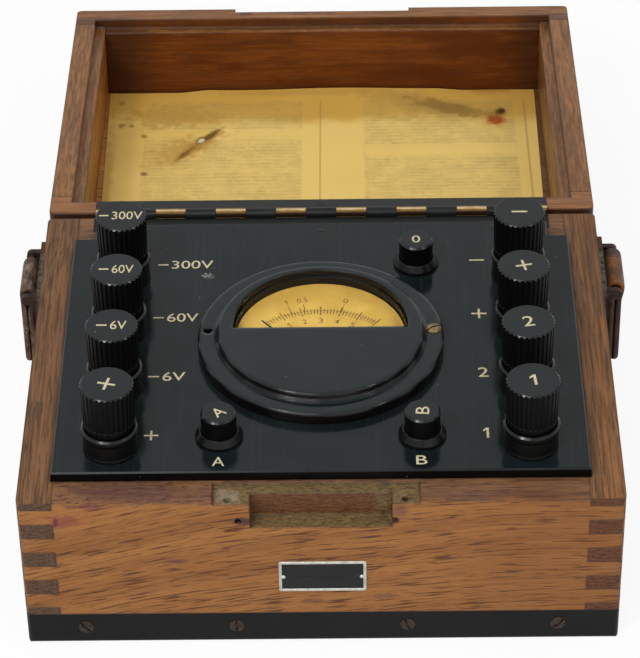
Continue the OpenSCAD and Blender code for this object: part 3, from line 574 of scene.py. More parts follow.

# %% [markdown]
# ## Black finishes
# The panel is polished hard rubber, the knobs, collars, caps and the meter's cover are moulded black, and
# the tray is painted sheet. All are nearly black by themselves: what shows is the pale room mirrored in their
# flat faces, so the gloss matters more than the colour. On some pieces the faces that do not look up get a
# darker tone, which is painted shade, and a coat, where there is one, goes only on what looks up.

# %% Black finish
def black(name, base, specular, gloss, dust=0.2, wear=None, wear_amount=0.5, ripple=0.02, edge=0.5,
          shaded_sides=None, polish=0.0, wiped=0.0, flecks=None):
    """Black with dull clouds and dust.

    wear is the tone of rubbed edges, wiped is the strength of streaks, and flecks is the place of a spatter.
    Where a tone for the sides is given, all that does not look up takes it as painted shade and is rougher,
    and polish coats only what looks up.
    """
    material, tree, shader = finish(name, Specular_IOR_Level=specular, Coat_Roughness=gloss)
    place = here(tree)
    worn = worn_edges(tree, edge)
    haze = cloud(tree, place, 0.05, 4.0, 0.6)
    fine = cloud(tree, place, 1.8, 3.0, 0.65)
    lighter = colour(*(1.5 * part for part in base[:3]))
    shade = grade(tree, haze, 0.3, 0.7, base, lighter)
    rough = calc(tree, "MULTIPLY_ADD", fine, 0.1, fade(tree, haze, 0.3, 0.75, gloss - 0.05, gloss + 0.06))
    if wiped:
        streaks = streaky(tree, place, 0.5, 0.015, 4.0, 0.7)
        shade = tint(tree, fade(tree, streaks, 0.5, 0.7, 0.0, wiped), shade, colour(0.03, 0.033, 0.034))
    if shaded_sides is not None:
        upward = fade(tree, parts(tree, facing(tree))[2], 0.4, 0.75)
        # Painted shade: faces that do not look up take the darker tone given for the sides.
        shade = tint(tree, upward, shaded_sides, shade)
        rough = calc(tree, "MULTIPLY_ADD", calc(tree, "SUBTRACT", 1.0, upward), 0.2, rough)
        if polish:
            feed(tree, shader.inputs, Coat_Weight=times(tree, upward, polish))
    grey = specks(tree, place, spacing=4.5, size=0.055, share=dust)
    shade = tint(tree, times(tree, grey, 0.5), shade, colour(0.3, 0.3, 0.28))
    if wear is not None:
        rubbed = times(tree, worn["Edge"], fade(tree, fine, 0.35, 0.6, 0.15, 1.0), wear_amount)
        shade = tint(tree, rubbed, shade, wear)
    if flecks is not None:
        spatter = stain(tree, place, flecks, (3.0, 2.2, 9.0), 0.9, 1.1)
        spatter = times(tree, spatter, fade(tree, cloud(tree, place, 2.2, 1.0), 0.5, 0.6))
        shade = tint(tree, spatter, shade, colour(0.42, 0.42, 0.4))
    feed(tree, shader.inputs, Base_Color=shade, Roughness=rough)
    bump(tree, shader, cloud(tree, place, 0.35, 3.0), ripple, worn["Normal"])
    return material


print("black finish")

# %% [markdown]
# ## Panel, mouldings and paint
# Each black piece has its own gloss, dust and edge. The meter's cover is the glossiest and roundest, the
# knobs are rubbed grey along their flutes, and paint has gone from the edges of the tray and of the hinge's
# leaf on the lid.

# %% Black pieces
knob_nodes = [f"knob_{side}_{row}" for side in ("left", "right") for row in (1, 2, 3, 4)]
button_nodes = [f"button_{number}" for number in (1, 2, 3)]
spatter_place = (-41.2, 39.3, panel_z)
# The sides tones below are painted shade on the faces that do not look up.
dress(black("hard rubber", colour(0.005, 0.0078, 0.0085), specular=0.1, gloss=0.12, dust=0.6,
            wear=colour(0.05, 0.054, 0.055), wear_amount=0.25, shaded_sides=colour(0.0018, 0.0018, 0.0017),
            polish=0.2, wiped=0.2, flecks=spatter_place), "panel")
dress(black("moulded black", colour(0.0045, 0.0082, 0.0092), specular=0.26, gloss=0.045, dust=0.5,
            ripple=0.006, edge=1.7, shaded_sides=colour(0.003, 0.0018, 0.0014)), "meter_cover")
dress(black("moulded collar", colour(0.004, 0.005, 0.0052), specular=0.16, gloss=0.13, dust=0.5, ripple=0.03,
            edge=0.7, shaded_sides=colour(0.0022, 0.0022, 0.002), polish=0.16), "terminal_collars", "button_collars")
dress(black("moulded knob", colour(0.0045, 0.0068, 0.0075), specular=0.09, gloss=0.2, dust=0.3,
            wear=colour(0.06, 0.06, 0.06), wear_amount=0.2, ripple=0.012, edge=0.35,
            shaded_sides=colour(0.0014, 0.0014, 0.0013), polish=0.3), *knob_nodes, *button_nodes)
dress(black("black sheet paint", colour(0.0055, 0.0053, 0.0053), specular=0.125, gloss=0.4, dust=0.25,
            wear=colour(0.1, 0.065, 0.042)), "tray")
dress(black("brown pot", colour(0.009, 0.0035, 0.0018), specular=0.1, gloss=0.5, dust=0.3, ripple=0.01),
      "meter_case")
dress(black("pointer black", colour(0.01, 0.01, 0.01), specular=0.4, gloss=0.4), "pointer")
leaf_black = colour(0.0075, 0.0088, 0.0082)
leaf_paint = black("black leaf", leaf_black, specular=0.17, gloss=0.32, dust=0.3,
                   wear=colour(0.14, 0.085, 0.035), wear_amount=0.6, edge=0.3)
dress(leaf_paint, "hinge_lid")

# %% [markdown]
# ## Plain metals
# Screws, studs and the meter's works are of brass, iron and plated steel, all tarnished. Two colours and a
# noise give the tarnish, and worn edges stay bright.

# %% Metal finish
def metal(name, bright, dull, gloss=0.3, tarnish=0.5, scale=0.3):
    """Metal with a tarnish of clouds; bright and dull are its two colours."""
    material, tree, shader = finish(name)
    place = here(tree)
    worn = worn_edges(tree, 0.4)
    spots = cloud(tree, place, scale, 4.0, 0.65)
    aged = fade(tree, spots, tarnish - 0.2, tarnish + 0.2)
    shade = tint(tree, calc(tree, "MULTIPLY_ADD", worn["Edge"], -0.5, aged), bright, dull)
    feed(tree, shader.inputs, Base_Color=shade, Roughness=fade(tree, spots, 0.2, 0.8, gloss, gloss + 0.25),
         Metallic=fade(tree, aged, 0.0, 1.0, 1.0, 0.75))
    bump(tree, shader, cloud(tree, place, 2.0, 3.0), 0.03, worn["Normal"])
    return material


washer_nodes = [name.replace("knob", "washer") for name in knob_nodes]
old_brass = metal("old brass", colour(0.4, 0.29, 0.13), colour(0.13, 0.088, 0.038),
                  gloss=0.32, tarnish=0.45, scale=0.9)
old_screw = metal("old screw", colour(0.085, 0.058, 0.044), colour(0.03, 0.023, 0.02),
                  gloss=0.45, tarnish=0.45, scale=0.9)
dress(metal("turned brass", colour(0.72, 0.5, 0.21), colour(0.3, 0.19, 0.08)),
      "studs", "contacts", "movement_plate", "bridge", *washer_nodes)
dress(metal("dull plating", colour(0.2, 0.22, 0.19), colour(0.06, 0.075, 0.06), gloss=0.4, scale=0.5),
      "hinge_pin")
dress(metal("machined iron", colour(0.42, 0.42, 0.42), colour(0.2, 0.19, 0.18)), "pole_shoes", "core")
dress(metal("blued magnet steel", colour(0.1, 0.11, 0.13), colour(0.05, 0.05, 0.055)), "magnet")
dress(metal("enamelled wire", colour(0.55, 0.23, 0.1), colour(0.3, 0.1, 0.04), gloss=0.25, scale=3.0), "coil")
dress(black("shellacked winding", colour(0.13, 0.04, 0.012), specular=0.5, gloss=0.25, dust=0.1), "resistors")

# %% [markdown]
# ## Hinge and brackets
# The hinge's brass knuckles are rubbed bare, bright on top and brown below, while the leaf before them is
# black.
# The bright top and the brown below follow the way the surface looks, so they are partly painted highlight
# and painted shade. The straps' brackets are dull plated steel at the wall and rusty where they stand off it.
# The tones are told apart by place: by the distance from the pin, and by the distance from the wall.

# %% Hinge and brackets
rubbed_and_lit_way = (0, -0.208, 0.978)
knuckle_edge = (2.28, 2.22)


def hinge_brass():
    """Worn brass on the knuckles, with a painted highlight where they look up to the front and painted shade
    below, and black on the leaf.
    """
    material, tree, shader = finish("hinge brass", Specular_IOR_Level=0.15)
    place = here(tree)
    spot = parts(tree, place)
    worn = worn_edges(tree, 0.3)
    spots = streaky(tree, place, 0.35, 1.2, 4.0, 0.7)
    # Painted highlight and shade: the knuckles are bright where they face this way and brown where they turn
    # from it.
    upward = compare(tree, "DOT_PRODUCT", facing(tree), rubbed_and_lit_way)
    frayed = calc(tree, "MULTIPLY_ADD", calc(tree, "SUBTRACT", spots, 0.5), 0.12, upward)
    rubbed = fade(tree, frayed, 0.95, 1.01)
    shade = grade(tree, frayed, 0.74, 0.97, colour(0.018, 0.008, 0.002), colour(0.2, 0.105, 0.022))
    shade = tint(tree, rubbed, shade, colour(0.6, 0.46, 0.27))
    from_pin = compare(tree, "DISTANCE", joined(tree, 0.0, spot[1], spot[2]), (0, pin_y, pin_z))
    knuckle = fade(tree, from_pin, *knuckle_edge)
    shade = tint(tree, knuckle, leaf_black, shade)
    feed(tree, shader.inputs, Base_Color=shade, Roughness=fade(tree, spots, 0.2, 0.8, 0.3, 0.5),
         Metallic=times(tree, knuckle, fade(tree, rubbed, 0.0, 1.0, 0.3, 0.95)))
    bump(tree, shader, spots, 0.04, worn["Normal"])
    return material


def bracket_steel(wall_x, rusty_end=(63.0, 68.0)):
    """Dull grey-green plating at the wall, brown at its far end, and rust on what stands off the wall."""
    material, tree, shader = finish("bracket steel", Specular_IOR_Level=0.25)
    place = here(tree)
    spot = parts(tree, place)
    worn = worn_edges(tree, 0.4)
    spots = cloud(tree, place, 0.5, 4.0, 0.7)
    far = calc(tree, "SUBTRACT", calc(tree, "ABSOLUTE", spot[0]), wall_x)
    rusty = fade(tree, calc(tree, "MULTIPLY_ADD", calc(tree, "SUBTRACT", spots, 0.5), 2.0, far), 1.2, 2.8)
    plating = grade(tree, spots, 0.35, 0.65, colour(0.13, 0.13, 0.1), colour(0.045, 0.04, 0.028))
    plating = tint(tree, fade(tree, spot[1], *rusty_end), plating, colour(0.085, 0.04, 0.018))
    rust = grade(tree, spots, 0.35, 0.65, colour(0.045, 0.021, 0.013), colour(0.018, 0.01, 0.008))
    feed(tree, shader.inputs, Base_Color=tint(tree, rusty, plating, rust),
         Roughness=fade(tree, spots, 0.2, 0.8, 0.45, 0.7), Metallic=fade(tree, rusty, 0.0, 1.0, 0.6, 0.15))
    bump(tree, shader, spots, 0.1, worn["Normal"])
    return material


dress(hinge_brass(), "hinge_base")
dress(bracket_steel(case_high[0]), "bracket_left", "bracket_right")

# %% [markdown]
# ## Surfaces from grids
# Each new piece is a grid of points worked out with numpy: rows and columns of a shape with two parameters.
# Neighbouring points become the corners of quads. Several copies of one shape can share a mesh. The place
# is in the points themselves, so every object stays at the origin.

# %% Objects and quads
def add(name, data):
    """Puts an object with this mesh, text, lamp or lens into the scene."""
    made = bpy.data.objects.new(name, data)
    bpy.context.scene.collection.objects.link(made)
    return made


def grid_quads(rows, columns, wrap_rows, wrap_columns):
    """Corner numbers of the quads between neighbouring points of a grid."""
    row, column = np.meshgrid(
        np.arange(rows - (not wrap_rows)), np.arange(columns - (not wrap_columns)), indexing="ij")
    below, beside = (row + 1) % rows, (column + 1) % columns
    quads = [row * columns + column, row * columns + beside,
             below * columns + beside, below * columns + column]
    return np.stack(quads, -1).reshape(-1, 4)


print("one quad", grid_quads(2, 2, False, False).tolist())


# %% Pieces
def keep(name, mesh, body, material, smooth_angle=None):
    """Makes a mesh a piece that rides on a body and takes the given finish."""
    piece = add(name, mesh)
    mesh.materials.append(material)
    if smooth_angle is not None:
        mesh.polygons.foreach_set("use_smooth", np.ones(len(mesh.polygons), bool))
        mesh.set_sharp_from_angle(angle=math.radians(smooth_angle))
    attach(piece, body)
    return piece


def surface(name, points, body, material, wrap_rows=False, wrap_columns=False, smooth_angle=35,
            outward=True):
    """A piece from points of shape (copies, rows, columns, 3); doubles at seams and poles are merged."""
    points = np.asarray(points, float)
    points = points[None] if points.ndim == 3 else points
    copies, rows, columns = points.shape[:3]
    quads = grid_quads(rows, columns, wrap_rows, wrap_columns)
    quads = (quads[None] + (np.arange(copies) * rows * columns)[:, None, None]).reshape(-1, 4)
    mesh = bpy.data.meshes.new(name)
    mesh.from_pydata((points.reshape(-1, 3) * MM).tolist(), [], quads.tolist())
    work = bmesh.new()
    work.from_mesh(mesh)
    bmesh.ops.remove_doubles(work, verts=work.verts, dist=0.002 * MM)
    bmesh.ops.dissolve_degenerate(work, edges=work.edges, dist=0.001 * MM)
    if outward:
        bmesh.ops.recalc_face_normals(work, faces=work.faces)
    work.to_mesh(mesh)
    work.free()
    print(name, len(mesh.vertices), "points")
    return keep(name, mesh, body, material, smooth_angle)


def stand(points, places, sideways, upright, outward):
    """Sets copies of a shape at places; its three axes follow the three given directions."""
    axes = np.stack([np.asarray(way, float) for way in (sideways, upright, outward)])
    return np.asarray(places, float)[:, None, None, :] + points @ axes


def spun(points, degrees):
    """Turns a shape about its third axis, by the sine and cosine of the angle."""
    cosine, sine = math.cos(math.radians(degrees)), math.sin(math.radians(degrees))
    return points @ np.array([[cosine, sine, 0], [-sine, cosine, 0], [0, 0, 1]])


print("a quarter turn of x", spun(np.array([1, 0, 0]), 90).round(3))

# %% [markdown]
# ## Slotted screws
# A head is a square grid pressed to a disc: points run along by the square root of what the way across
# leaves. Doubled columns at the slot's two edges give it upright walls. A real slot is cut straight across,
# which is why the grid follows the slot and not the circle.

# %% Screw head
def slotted_head(radius, dome, slot_width, slot_depth, foot=0.6, shoulder=0.3):
    """Grid of a slotted round head: a dome above a shoulder, less the slot, and end rows that go down."""
    half = slot_width / 2 / radius
    side, bottom = np.linspace(half, 1, 9), np.linspace(-half, half, 5)
    columns = np.concatenate([-side[::-1], bottom, side])
    slot = np.repeat([0, 1, 0], [len(side), len(bottom), len(side)])
    rows = np.concatenate([[-1], np.linspace(-1, 1, 25), [1]])
    along, across = np.meshgrid(rows, columns, indexing="ij")
    along = along * np.sqrt(np.maximum(0, 1 - across**2))
    height = dome * (shoulder + (1 - shoulder) * (1 - across**2 - along**2)) - slot_depth * slot[None, :]
    height[[0, -1]] = -foot
    return np.stack([radius * across, radius * along, height], -1)


def screws(head, turns, places, *axes):
    """Copies of a head, each turned by its own angle and set at its own place."""
    return [stand(spun(head, turn), [place], *axes)[0] for turn, place in zip(turns, places)]


tray_head = slotted_head(radius=2.6, dome=0.7, slot_width=0.9, slot_depth=0.6)
print("screw head", tray_head.shape[:2], "points")

# %% [markdown]
# ## Screws of the tray and the meter
# The tray is held by round-headed screws that have gone brown, with their slots at all angles. The ones on
# the front stand where the photograph has them. One brass screw is left in the meter's flange.

# %% Tray screws and flange screw
level_axes = ((1, 0, 0), (0, 1, 0), (0, 0, 1))
front_axes = ((1, 0, 0), (0, 0, 1), (0, -1, 0))
back_axes = ((-1, 0, 0), (0, 0, 1), (0, 1, 0))
tray_screw_z = 7.6
front_turns = {-82: 40, -29.8: 2, 29.4: 20, 81.4: -45}
back_turns = {-82: 0, -28: 30, 28: 60, 82: 90}
side_turns = {-56: 10, 0: 35, 56: 60}
front_places = [(x, front_y, tray_screw_z) for x in front_turns]
back_places = [(x, back_y, tray_screw_z) for x in back_turns]
tray_heads = screws(tray_head, front_turns.values(), front_places, *front_axes)
tray_heads += screws(tray_head, back_turns.values(), back_places, *back_axes)
for sign in (-1, 1):
    side_places = [(sign * case_high[0], y, tray_screw_z) for y in side_turns]
    tray_heads += screws(tray_head, side_turns.values(), side_places, (0, sign, 0), (0, 0, 1), (sign, 0, 0))
surface("tray_screws", np.stack(tray_heads), "case", old_screw)
flange_rise = 4.4
flange_place = (meter_x + 39.9, meter_y + 3, panel_z + flange_rise)
flange_head = slotted_head(radius=2.7, dome=0.9, slot_width=0.9, slot_depth=0.8)
surface("flange_screw", np.stack(screws(flange_head, [-62], [flange_place], *level_axes)),
        "case", old_brass)

# %% [markdown]
# ## Screws of the hinge
# Flat heads painted with the leaves hold the hinge. Three go through the panel's tongue, and three through
# the lid's leaf, which leans with the lid. Its top face is found among the solid's faces: the largest one
# that looks up but not straight up.

# %% Hinge screws
leaf_head = slotted_head(radius=1.9, dome=0.14, slot_width=0.55, slot_depth=0.35, foot=0.3)
tongue_places = [(-64.5, 67.0, panel_z), (0.0, 65.4, panel_z), (64.5, 67.0, panel_z)]
surface("tongue_screws", np.stack(screws(leaf_head, (35, 85, 135), tongue_places, *level_axes)),
        "case", leaf_paint)
leaning = [face for face in nodes["hinge_lid"].data.polygons if 0.9 < face.normal[2] < 0.9995]
leaf_top = max(leaning, key=lambda face: face.area)
leaf_up = np.array(leaf_top.normal)
leaf_back = np.array([0, leaf_up[2], -leaf_up[1]])
leaf_middle = np.array(leaf_top.center) / MM
leaf_places = [leaf_middle * (0, 1, 1) + (x, 0, 0) for x in (-69.0, 0.0, 69.0)]
surface("leaf_screws", np.stack(screws(leaf_head, (20, 85, 150), leaf_places, (1, 0, 0), leaf_back, leaf_up)),
        "lid", leaf_paint)
print("leaf face", leaf_middle.round(2), leaf_up.round(3))

# %% [markdown]
# ## The small plate on the front
# A thin plate with a bright raised border is pinned to the front board. Its field stays bare. Rings of a
# rounded rectangle, stepped inwards along the plate's section, make border and field in one grid each.

# %% Front plate
def rounded_ring(width, height, radius, count=64):
    """Points round a rectangle with round corners: each corner's arc takes a quarter of the count."""
    quarter = np.linspace(0, math.pi / 2, count // 4)
    angle = np.concatenate([quarter + turn * math.pi / 2 for turn in range(4)])
    corner = np.repeat(np.array([[1, 1], [-1, 1], [-1, -1], [1, -1]]), count // 4, axis=0)
    x = corner[:, 0] * (width / 2 - radius) + radius * np.cos(angle)
    y = corner[:, 1] * (height / 2 - radius) + radius * np.sin(angle)
    return np.stack([x, y], -1)


def stepped_plate(width, height, radius, section):
    """Rings stepped inwards by each section point's inset and raised by its height."""
    rings = []
    for inset, rise in section:
        ring = rounded_ring(width - 2 * inset, height - 2 * inset, max(radius - inset, 0.05))
        rings.append(np.column_stack([ring, np.full(len(ring), rise)]))
    return np.stack(rings)


def pin_head(radius, dome):
    """A small domed pin: radius times the sine and dome times the cosine of the angle from its top."""
    angle = np.linspace(0, math.pi / 2, 9)[:, None]
    turn = np.linspace(0, 2 * math.pi, 24, endpoint=False)[None, :]
    height = dome * np.cos(angle) * np.ones_like(turn)
    reach = radius * np.sin(angle)
    return np.stack([reach * np.cos(turn), reach * np.sin(turn), height], -1)


plate_width, plate_height, plate_corner, border = 30.0, 13.6, 0.8, 1.1
plate_centre = [(0.2, front_y, 31.0)]
pin_places = [(x, front_y - 0.36, 30.8) for x in (-13.2, 13.6)]
border_section = [(0, -0.1), (0, 0.45), (0.15, 0.6), (border - 0.15, 0.6), (border, 0.45), (border, 0.1)]
field_section = [(border - 0.05, 0.1), (border + 0.05, 0.38), (plate_height / 2 - 0.06, 0.38)]
pale_metal = metal("pale plate metal", colour(0.6, 0.58, 0.52), colour(0.34, 0.32, 0.27),
                   gloss=0.35, tarnish=0.6, scale=0.6)
plate_black = black("plate black", colour(0.0085, 0.009, 0.0095), specular=0.2, gloss=0.35, dust=0.5,
                    ripple=0.03)
border_shape = stepped_plate(plate_width, plate_height, plate_corner, border_section)
field_shape = stepped_plate(plate_width, plate_height, plate_corner, field_section)
surface("plate_border", stand(border_shape, plate_centre, *front_axes), "case", pale_metal,
        wrap_columns=True)
surface("plate_field", stand(field_shape, plate_centre, *front_axes), "case", plate_black,
        wrap_columns=True)
surface("plate_pins", stand(pin_head(0.75, 0.5), pin_places, *front_axes), "case", pale_metal,
        wrap_columns=True)

# %% [markdown]
# ## Letters as meshes
# Signs and numbers are cut into the panel and the knobs and filled with cream paint. The outlines come from
# Blender's own sans-serif letters: they are made a mesh, scaled to the width and height of each mark, turned,
# and laid a hair above the face. Plus, minus and one are plain bars, so they are drawn from a few corners.

# %% Letters
def outline(text, weight):
    """Corner points and faces of a text, from 0 to 1 in both directions."""
    curve = bpy.data.curves.new("letters", "FONT")
    curve.body = text
    curve.offset = weight
    curve.resolution_u = 6
    writer = add("letters", curve)
    shape = bpy.data.meshes.new_from_object(writer.evaluated_get(bpy.context.evaluated_depsgraph_get()))
    points = np.zeros(len(shape.vertices) * 3)
    shape.vertices.foreach_get("co", points)
    faces = [tuple(face.vertices) for face in shape.polygons]
    points = points.reshape(-1, 3)[:, :2]
    points = (points - points.min(0)) / np.maximum(np.ptp(points, axis=0), 1e-6)
    bpy.data.objects.remove(writer)
    bpy.data.curves.remove(curve)
    bpy.data.meshes.remove(shape)
    return points, faces


def bars(kind, thick=0.075):
    """Points and faces, from 0 to 1, of a plus or a minus sign, or of a one: a stem with a flag."""
    low, high = 0.5 - thick, 0.5 + thick
    if kind == "minus":
        return np.array([[0, low], [1, low], [1, high], [0, high]]), [(0, 1, 2, 3)]
    if kind == "one":
        corner_points = [[0.58, 0], [1, 0], [1, 1], [0.58, 1], [0.58, 0.8], [0, 0.62], [0, 0.8]]
        return np.array(corner_points), [(0, 1, 2, 3, 4), (4, 3, 6, 5)]
    arms = [(low, 0), (high, 0), (high, low), (1, low), (1, high), (high, high),
            (high, 1), (low, 1), (low, high), (0, high), (0, low), (low, low)]
    return np.array(arms), [tuple(range(12))]


def lettering(name, marks, body, material, weight=0.004, lift=0.03):
    """One mesh of marks; each is (text, centre, width, height, turn) and lies on a level face."""
    all_points, all_faces, start = [], [], 0
    for text, centre, width, height, turn in marks:
        points, faces = bars(text) if text in ("plus", "minus", "one") else outline(text, weight)
        level = np.column_stack([(points - 0.5) * (width, height), np.full(len(points), lift)])
        all_points.append(spun(level, turn) + np.asarray(centre))
        all_faces += [tuple(corner + start for corner in face) for face in faces]
        start += len(points)
    mesh = bpy.data.meshes.new(name)
    mesh.from_pydata((np.concatenate(all_points) * MM).tolist(), [], all_faces)
    print(name, [mark[0] for mark in marks])
    return keep(name, mesh, body, material)


print("a plus has", len(bars("plus")[0]), "corners")

# %% [markdown]
# ## Marks on panel, knobs and buttons
# Each knob repeats the mark beside it, turned as the knob was last left. The filling is cream that has gone
# brown in spots. A range has a minus before its number, and the two together are as wide as the whole mark.

# %% Engraved marks
def cream_filling():
    """Cream paint with brown spots from one noise."""
    material, tree, shader = finish("cream filling", Specular_IOR_Level=0.3)
    blot = cloud(tree, here(tree), 1.2, 3.0, 0.7)
    shade = grade(tree, blot, 0.45, 0.75, colour(0.58, 0.51, 0.33), colour(0.26, 0.21, 0.11))
    feed(tree, shader.inputs, Base_Color=shade, Roughness=fade(tree, blot, 0.2, 0.8, 0.5, 0.7))
    return material


def signed(label, centre, width, height, sign_width, gap=1.2):
    """A minus sign followed by a label, together as wide as width."""
    x, y, z = centre
    left = x - width / 2
    rest = width - sign_width - gap
    return [("minus", (left + sign_width / 2, y, z), sign_width, 5.0, 0),
            (label, (left + width - rest / 2, y, z), rest, height, 0)]


def on_top(node):
    """Middle of a solid's upper face."""
    low, high = corners(node)
    return np.array([(low[0] + high[0]) / 2, (low[1] + high[1]) / 2, high[2]])


cream = cream_filling()
panel_ranges = [("300V", -49.5, 46.2, 20.2), ("60V", -52.0, 15.1, 16.2), ("6V", -53.9, -18.0, 13.0)]
panel_signs = [("plus", -58.0, -49.6, 5.0, 5.0), ("minus", 57.0, 47.3, 5.4, 5.0),
               ("plus", 56.6, 15.8, 5.4, 5.4), ("2", 56.8, -17.2, 3.6, 5.2), ("one", 56.5, -49.7, 2.0, 5.2),
               ("A", -34.7, -63.4, 4.2, 4.6), ("B", 34.2, -63.5, 3.8, 4.6)]
panel_marks = [mark for label, x, y, width in panel_ranges
               for mark in signed(label, (x, y, panel_z), width, 4.7, 3.8)]
panel_marks += [(text, (x, y, panel_z), width, height, 0) for text, x, y, width, height in panel_signs]
lettering("panel_marks", panel_marks, "case", cream)

# %% Marks on knobs and buttons
knob_ranges = {"knob_left_1": ("300V", 15.6, 3.4), "knob_left_2": ("60V", 12.2, 3.4),
               "knob_left_3": ("6V", 10.4, 3.6)}
for node, (label, width, sign_width) in knob_ranges.items():
    lettering(node + "_mark", signed(label, on_top(node), width, 4.6, sign_width), node, cream)
single_marks = {
    "knob_left_4": ("plus", 6.2, 6.2, -14), "knob_right_1": ("minus", 5.6, 6.0, 0),
    "knob_right_2": ("plus", 5.8, 5.8, 12), "knob_right_3": ("2", 3.8, 5.4, 8),
    "knob_right_4": ("one", 2.2, 5.4, 5), "button_1": ("A", 4.2, 4.6, 40),
    "button_2": ("B", 3.8, 4.6, 85), "button_3": ("0", 3.0, 4.2, 0)}
for node, (text, width, height, turn) in single_marks.items():
    lettering(node + "_mark", [(text, on_top(node), width, height, turn)], node, cream)

# %% [markdown]
# ## The dial
# The dial is cream paint that has gone amber and freckled, and it is darker to its rim, which is painted
# shade from the window's wall. The ink of its scale has faded to brown in places. Both finishes are noises on
# the place, so they need no picture.

# %% Dial paint and ink
def dial_paint():
    """Amber paint with slow clouds, painted shade on the rim by the distance from the meter's middle, and
    freckles.
    """
    material, tree, shader = finish("amber dial paint", Specular_IOR_Level=0.2)
    place = here(tree)
    age = cloud(tree, place, 0.07, 3.0, 0.55)
    freckle = cloud(tree, place, 1.1, 3.0, 0.65)
    tone = grade(tree, age, 0.35, 0.7, colour(0.455, 0.29, 0.058), colour(0.37, 0.22, 0.036))
    from_middle = compare(tree, "DISTANCE", place, (meter_x, meter_y, dial_z))
    # Painted shade: the dial darkens towards the window's wall.
    tone = tint(tree, fade(tree, from_middle, 21.0, 32.0, 0.0, 0.45), tone, colour(0.26, 0.14, 0.022))
    tone = tint(tree, fade(tree, freckle, 0.6, 0.75, 0.0, 0.4), tone, colour(0.32, 0.17, 0.03))
    feed(tree, shader.inputs, Base_Color=tone, Roughness=fade(tree, freckle, 0.2, 0.8, 0.5, 0.65))
    return material


def faded_ink():
    """Brown ink that is paler where a noise is high."""
    material, tree, shader = finish("scale ink", Specular_IOR_Level=0.2)
    faded = cloud(tree, here(tree), 0.9, 2.0, 0.6)
    shade = grade(tree, faded, 0.35, 0.7, colour(0.07, 0.034, 0.008), colour(0.2, 0.11, 0.025))
    feed(tree, shader.inputs, Base_Color=shade, Roughness=fade(tree, faded, 0.2, 0.8, 0.6, 0.7))
    return material


dress(dial_paint(), "dial")

# %% [markdown]
# ## The scale
# The scale is a fan of short strokes about the pointer's pivot: each stroke is a thin quad between two radii,
# and a thin arc joins them. The numbers below the arc count the scale, and those above it are a second scale
# that runs the other way.

# %% Scale
pivot_offset = 14.0
pivot = np.array([meter_x, meter_y - pivot_offset])
scale_z = dial_z + 0.02
step = 13.2
half_swing = 3 * step
number_radius, upper_radius = 25.3, 37.6
upper_numbers = [("one", -19.3, 0.9), ("0.5", -10.3, 3.8), ("0", 13.8, 1.8)]


def strokes(angles, inner, outer, thick):
    """Thin radial quads about the pivot; angles are in degrees clockwise from straight back."""
    angle = np.radians(np.asarray(angles, float))[:, None, None]
    radius = np.array([inner, outer])[None, :, None]
    side = np.array([-thick / 2, thick / 2])[None, None, :]
    x = pivot[0] + radius * np.sin(angle) + side * np.cos(angle)
    y = pivot[1] + radius * np.cos(angle) - side * np.sin(angle)
    return np.stack([x, y, np.full_like(x, scale_z)], -1)


def by_angle(text, degrees, radius, width, height):
    """A number set upright at an angle and a radius about the pivot."""
    angle = math.radians(degrees)
    centre = (pivot[0] + radius * math.sin(angle), pivot[1] + radius * math.cos(angle), dial_z)
    return (text, centre, width, height, -degrees)


scale_ink = faded_ink()
scale_end = half_swing + 0.1
fine_ticks = strokes(np.arange(-half_swing, scale_end, step / 6), inner=29.2, outer=32.0, thick=0.34)
long_ticks = strokes(np.arange(-half_swing, scale_end, step), inner=28.4, outer=33.4, thick=0.42)
upper_ticks = strokes([degrees for _, degrees, _ in upper_numbers], inner=31.0, outer=35.2, thick=0.32)
surface("dial_ticks", np.concatenate([fine_ticks, long_ticks, upper_ticks]), "case", scale_ink,
        smooth_angle=None, outward=False)
arc = np.radians(np.linspace(-half_swing, half_swing, 60))[None, :]
arc_radii = np.array([30.9, 31.12])[:, None]
arc_x, arc_y = pivot[0] + arc_radii * np.sin(arc), pivot[1] + arc_radii * np.cos(arc)
arc_points = np.stack([arc_x, arc_y, np.full_like(arc_x, scale_z)], -1)
surface("dial_arc", arc_points, "case", scale_ink, smooth_angle=None, outward=False)
lower_numbers = [("one", 0.9) if count == 1 else (str(count), 1.7) for count in range(7)]
numbers = [by_angle(text, (count - 3) * step, number_radius, width, 2.6)
           for count, (text, width) in enumerate(lower_numbers)]
numbers += [by_angle(text, degrees, upper_radius, width, 2.5) for text, degrees, width in upper_numbers]
lettering("dial_numbers", numbers, "case", scale_ink, lift=0.02)

# %% [markdown]
# ## Window glass
# Clear glass lets the room's light through to the dial. A path tracer would shade the dial as if the pane
# were solid, so rays that only ask for shadow pass straight through.

# %% Glass
def show(tree, amount, shader, other):
    """Lays another shader over a material's own by an amount from 0 to 1."""
    mixed = put(tree, "MixShader", {0: amount, 1: shader.outputs[0], 2: other.outputs[0]})
    feed(tree, tree.nodes["Material Output"].inputs, Surface=mixed.outputs[0])


def window_glass():
    """Clear glass that is transparent to shadow rays."""
    material, tree, shader = finish("window glass", Base_Color=colour(0.97, 0.985, 0.975), Roughness=0.02,
                                    IOR=1.06, Transmission_Weight=1.0)
    show(tree, put(tree, "LightPath").outputs["Is Shadow Ray"], shader, put(tree, "BsdfTransparent"))
    return material


dress(window_glass(), "meter_glass")

# %% [markdown]
# ## Paper in the lid
# A printed sheet is glued inside the lid. It is a thin closed grid on the lid's inner face, a little narrower
# at its near edge, raised by a few slow waves. Its far edge curls, but only between the two rows of knobs,
# because raised knobs come close to the paper when the lid is shut.

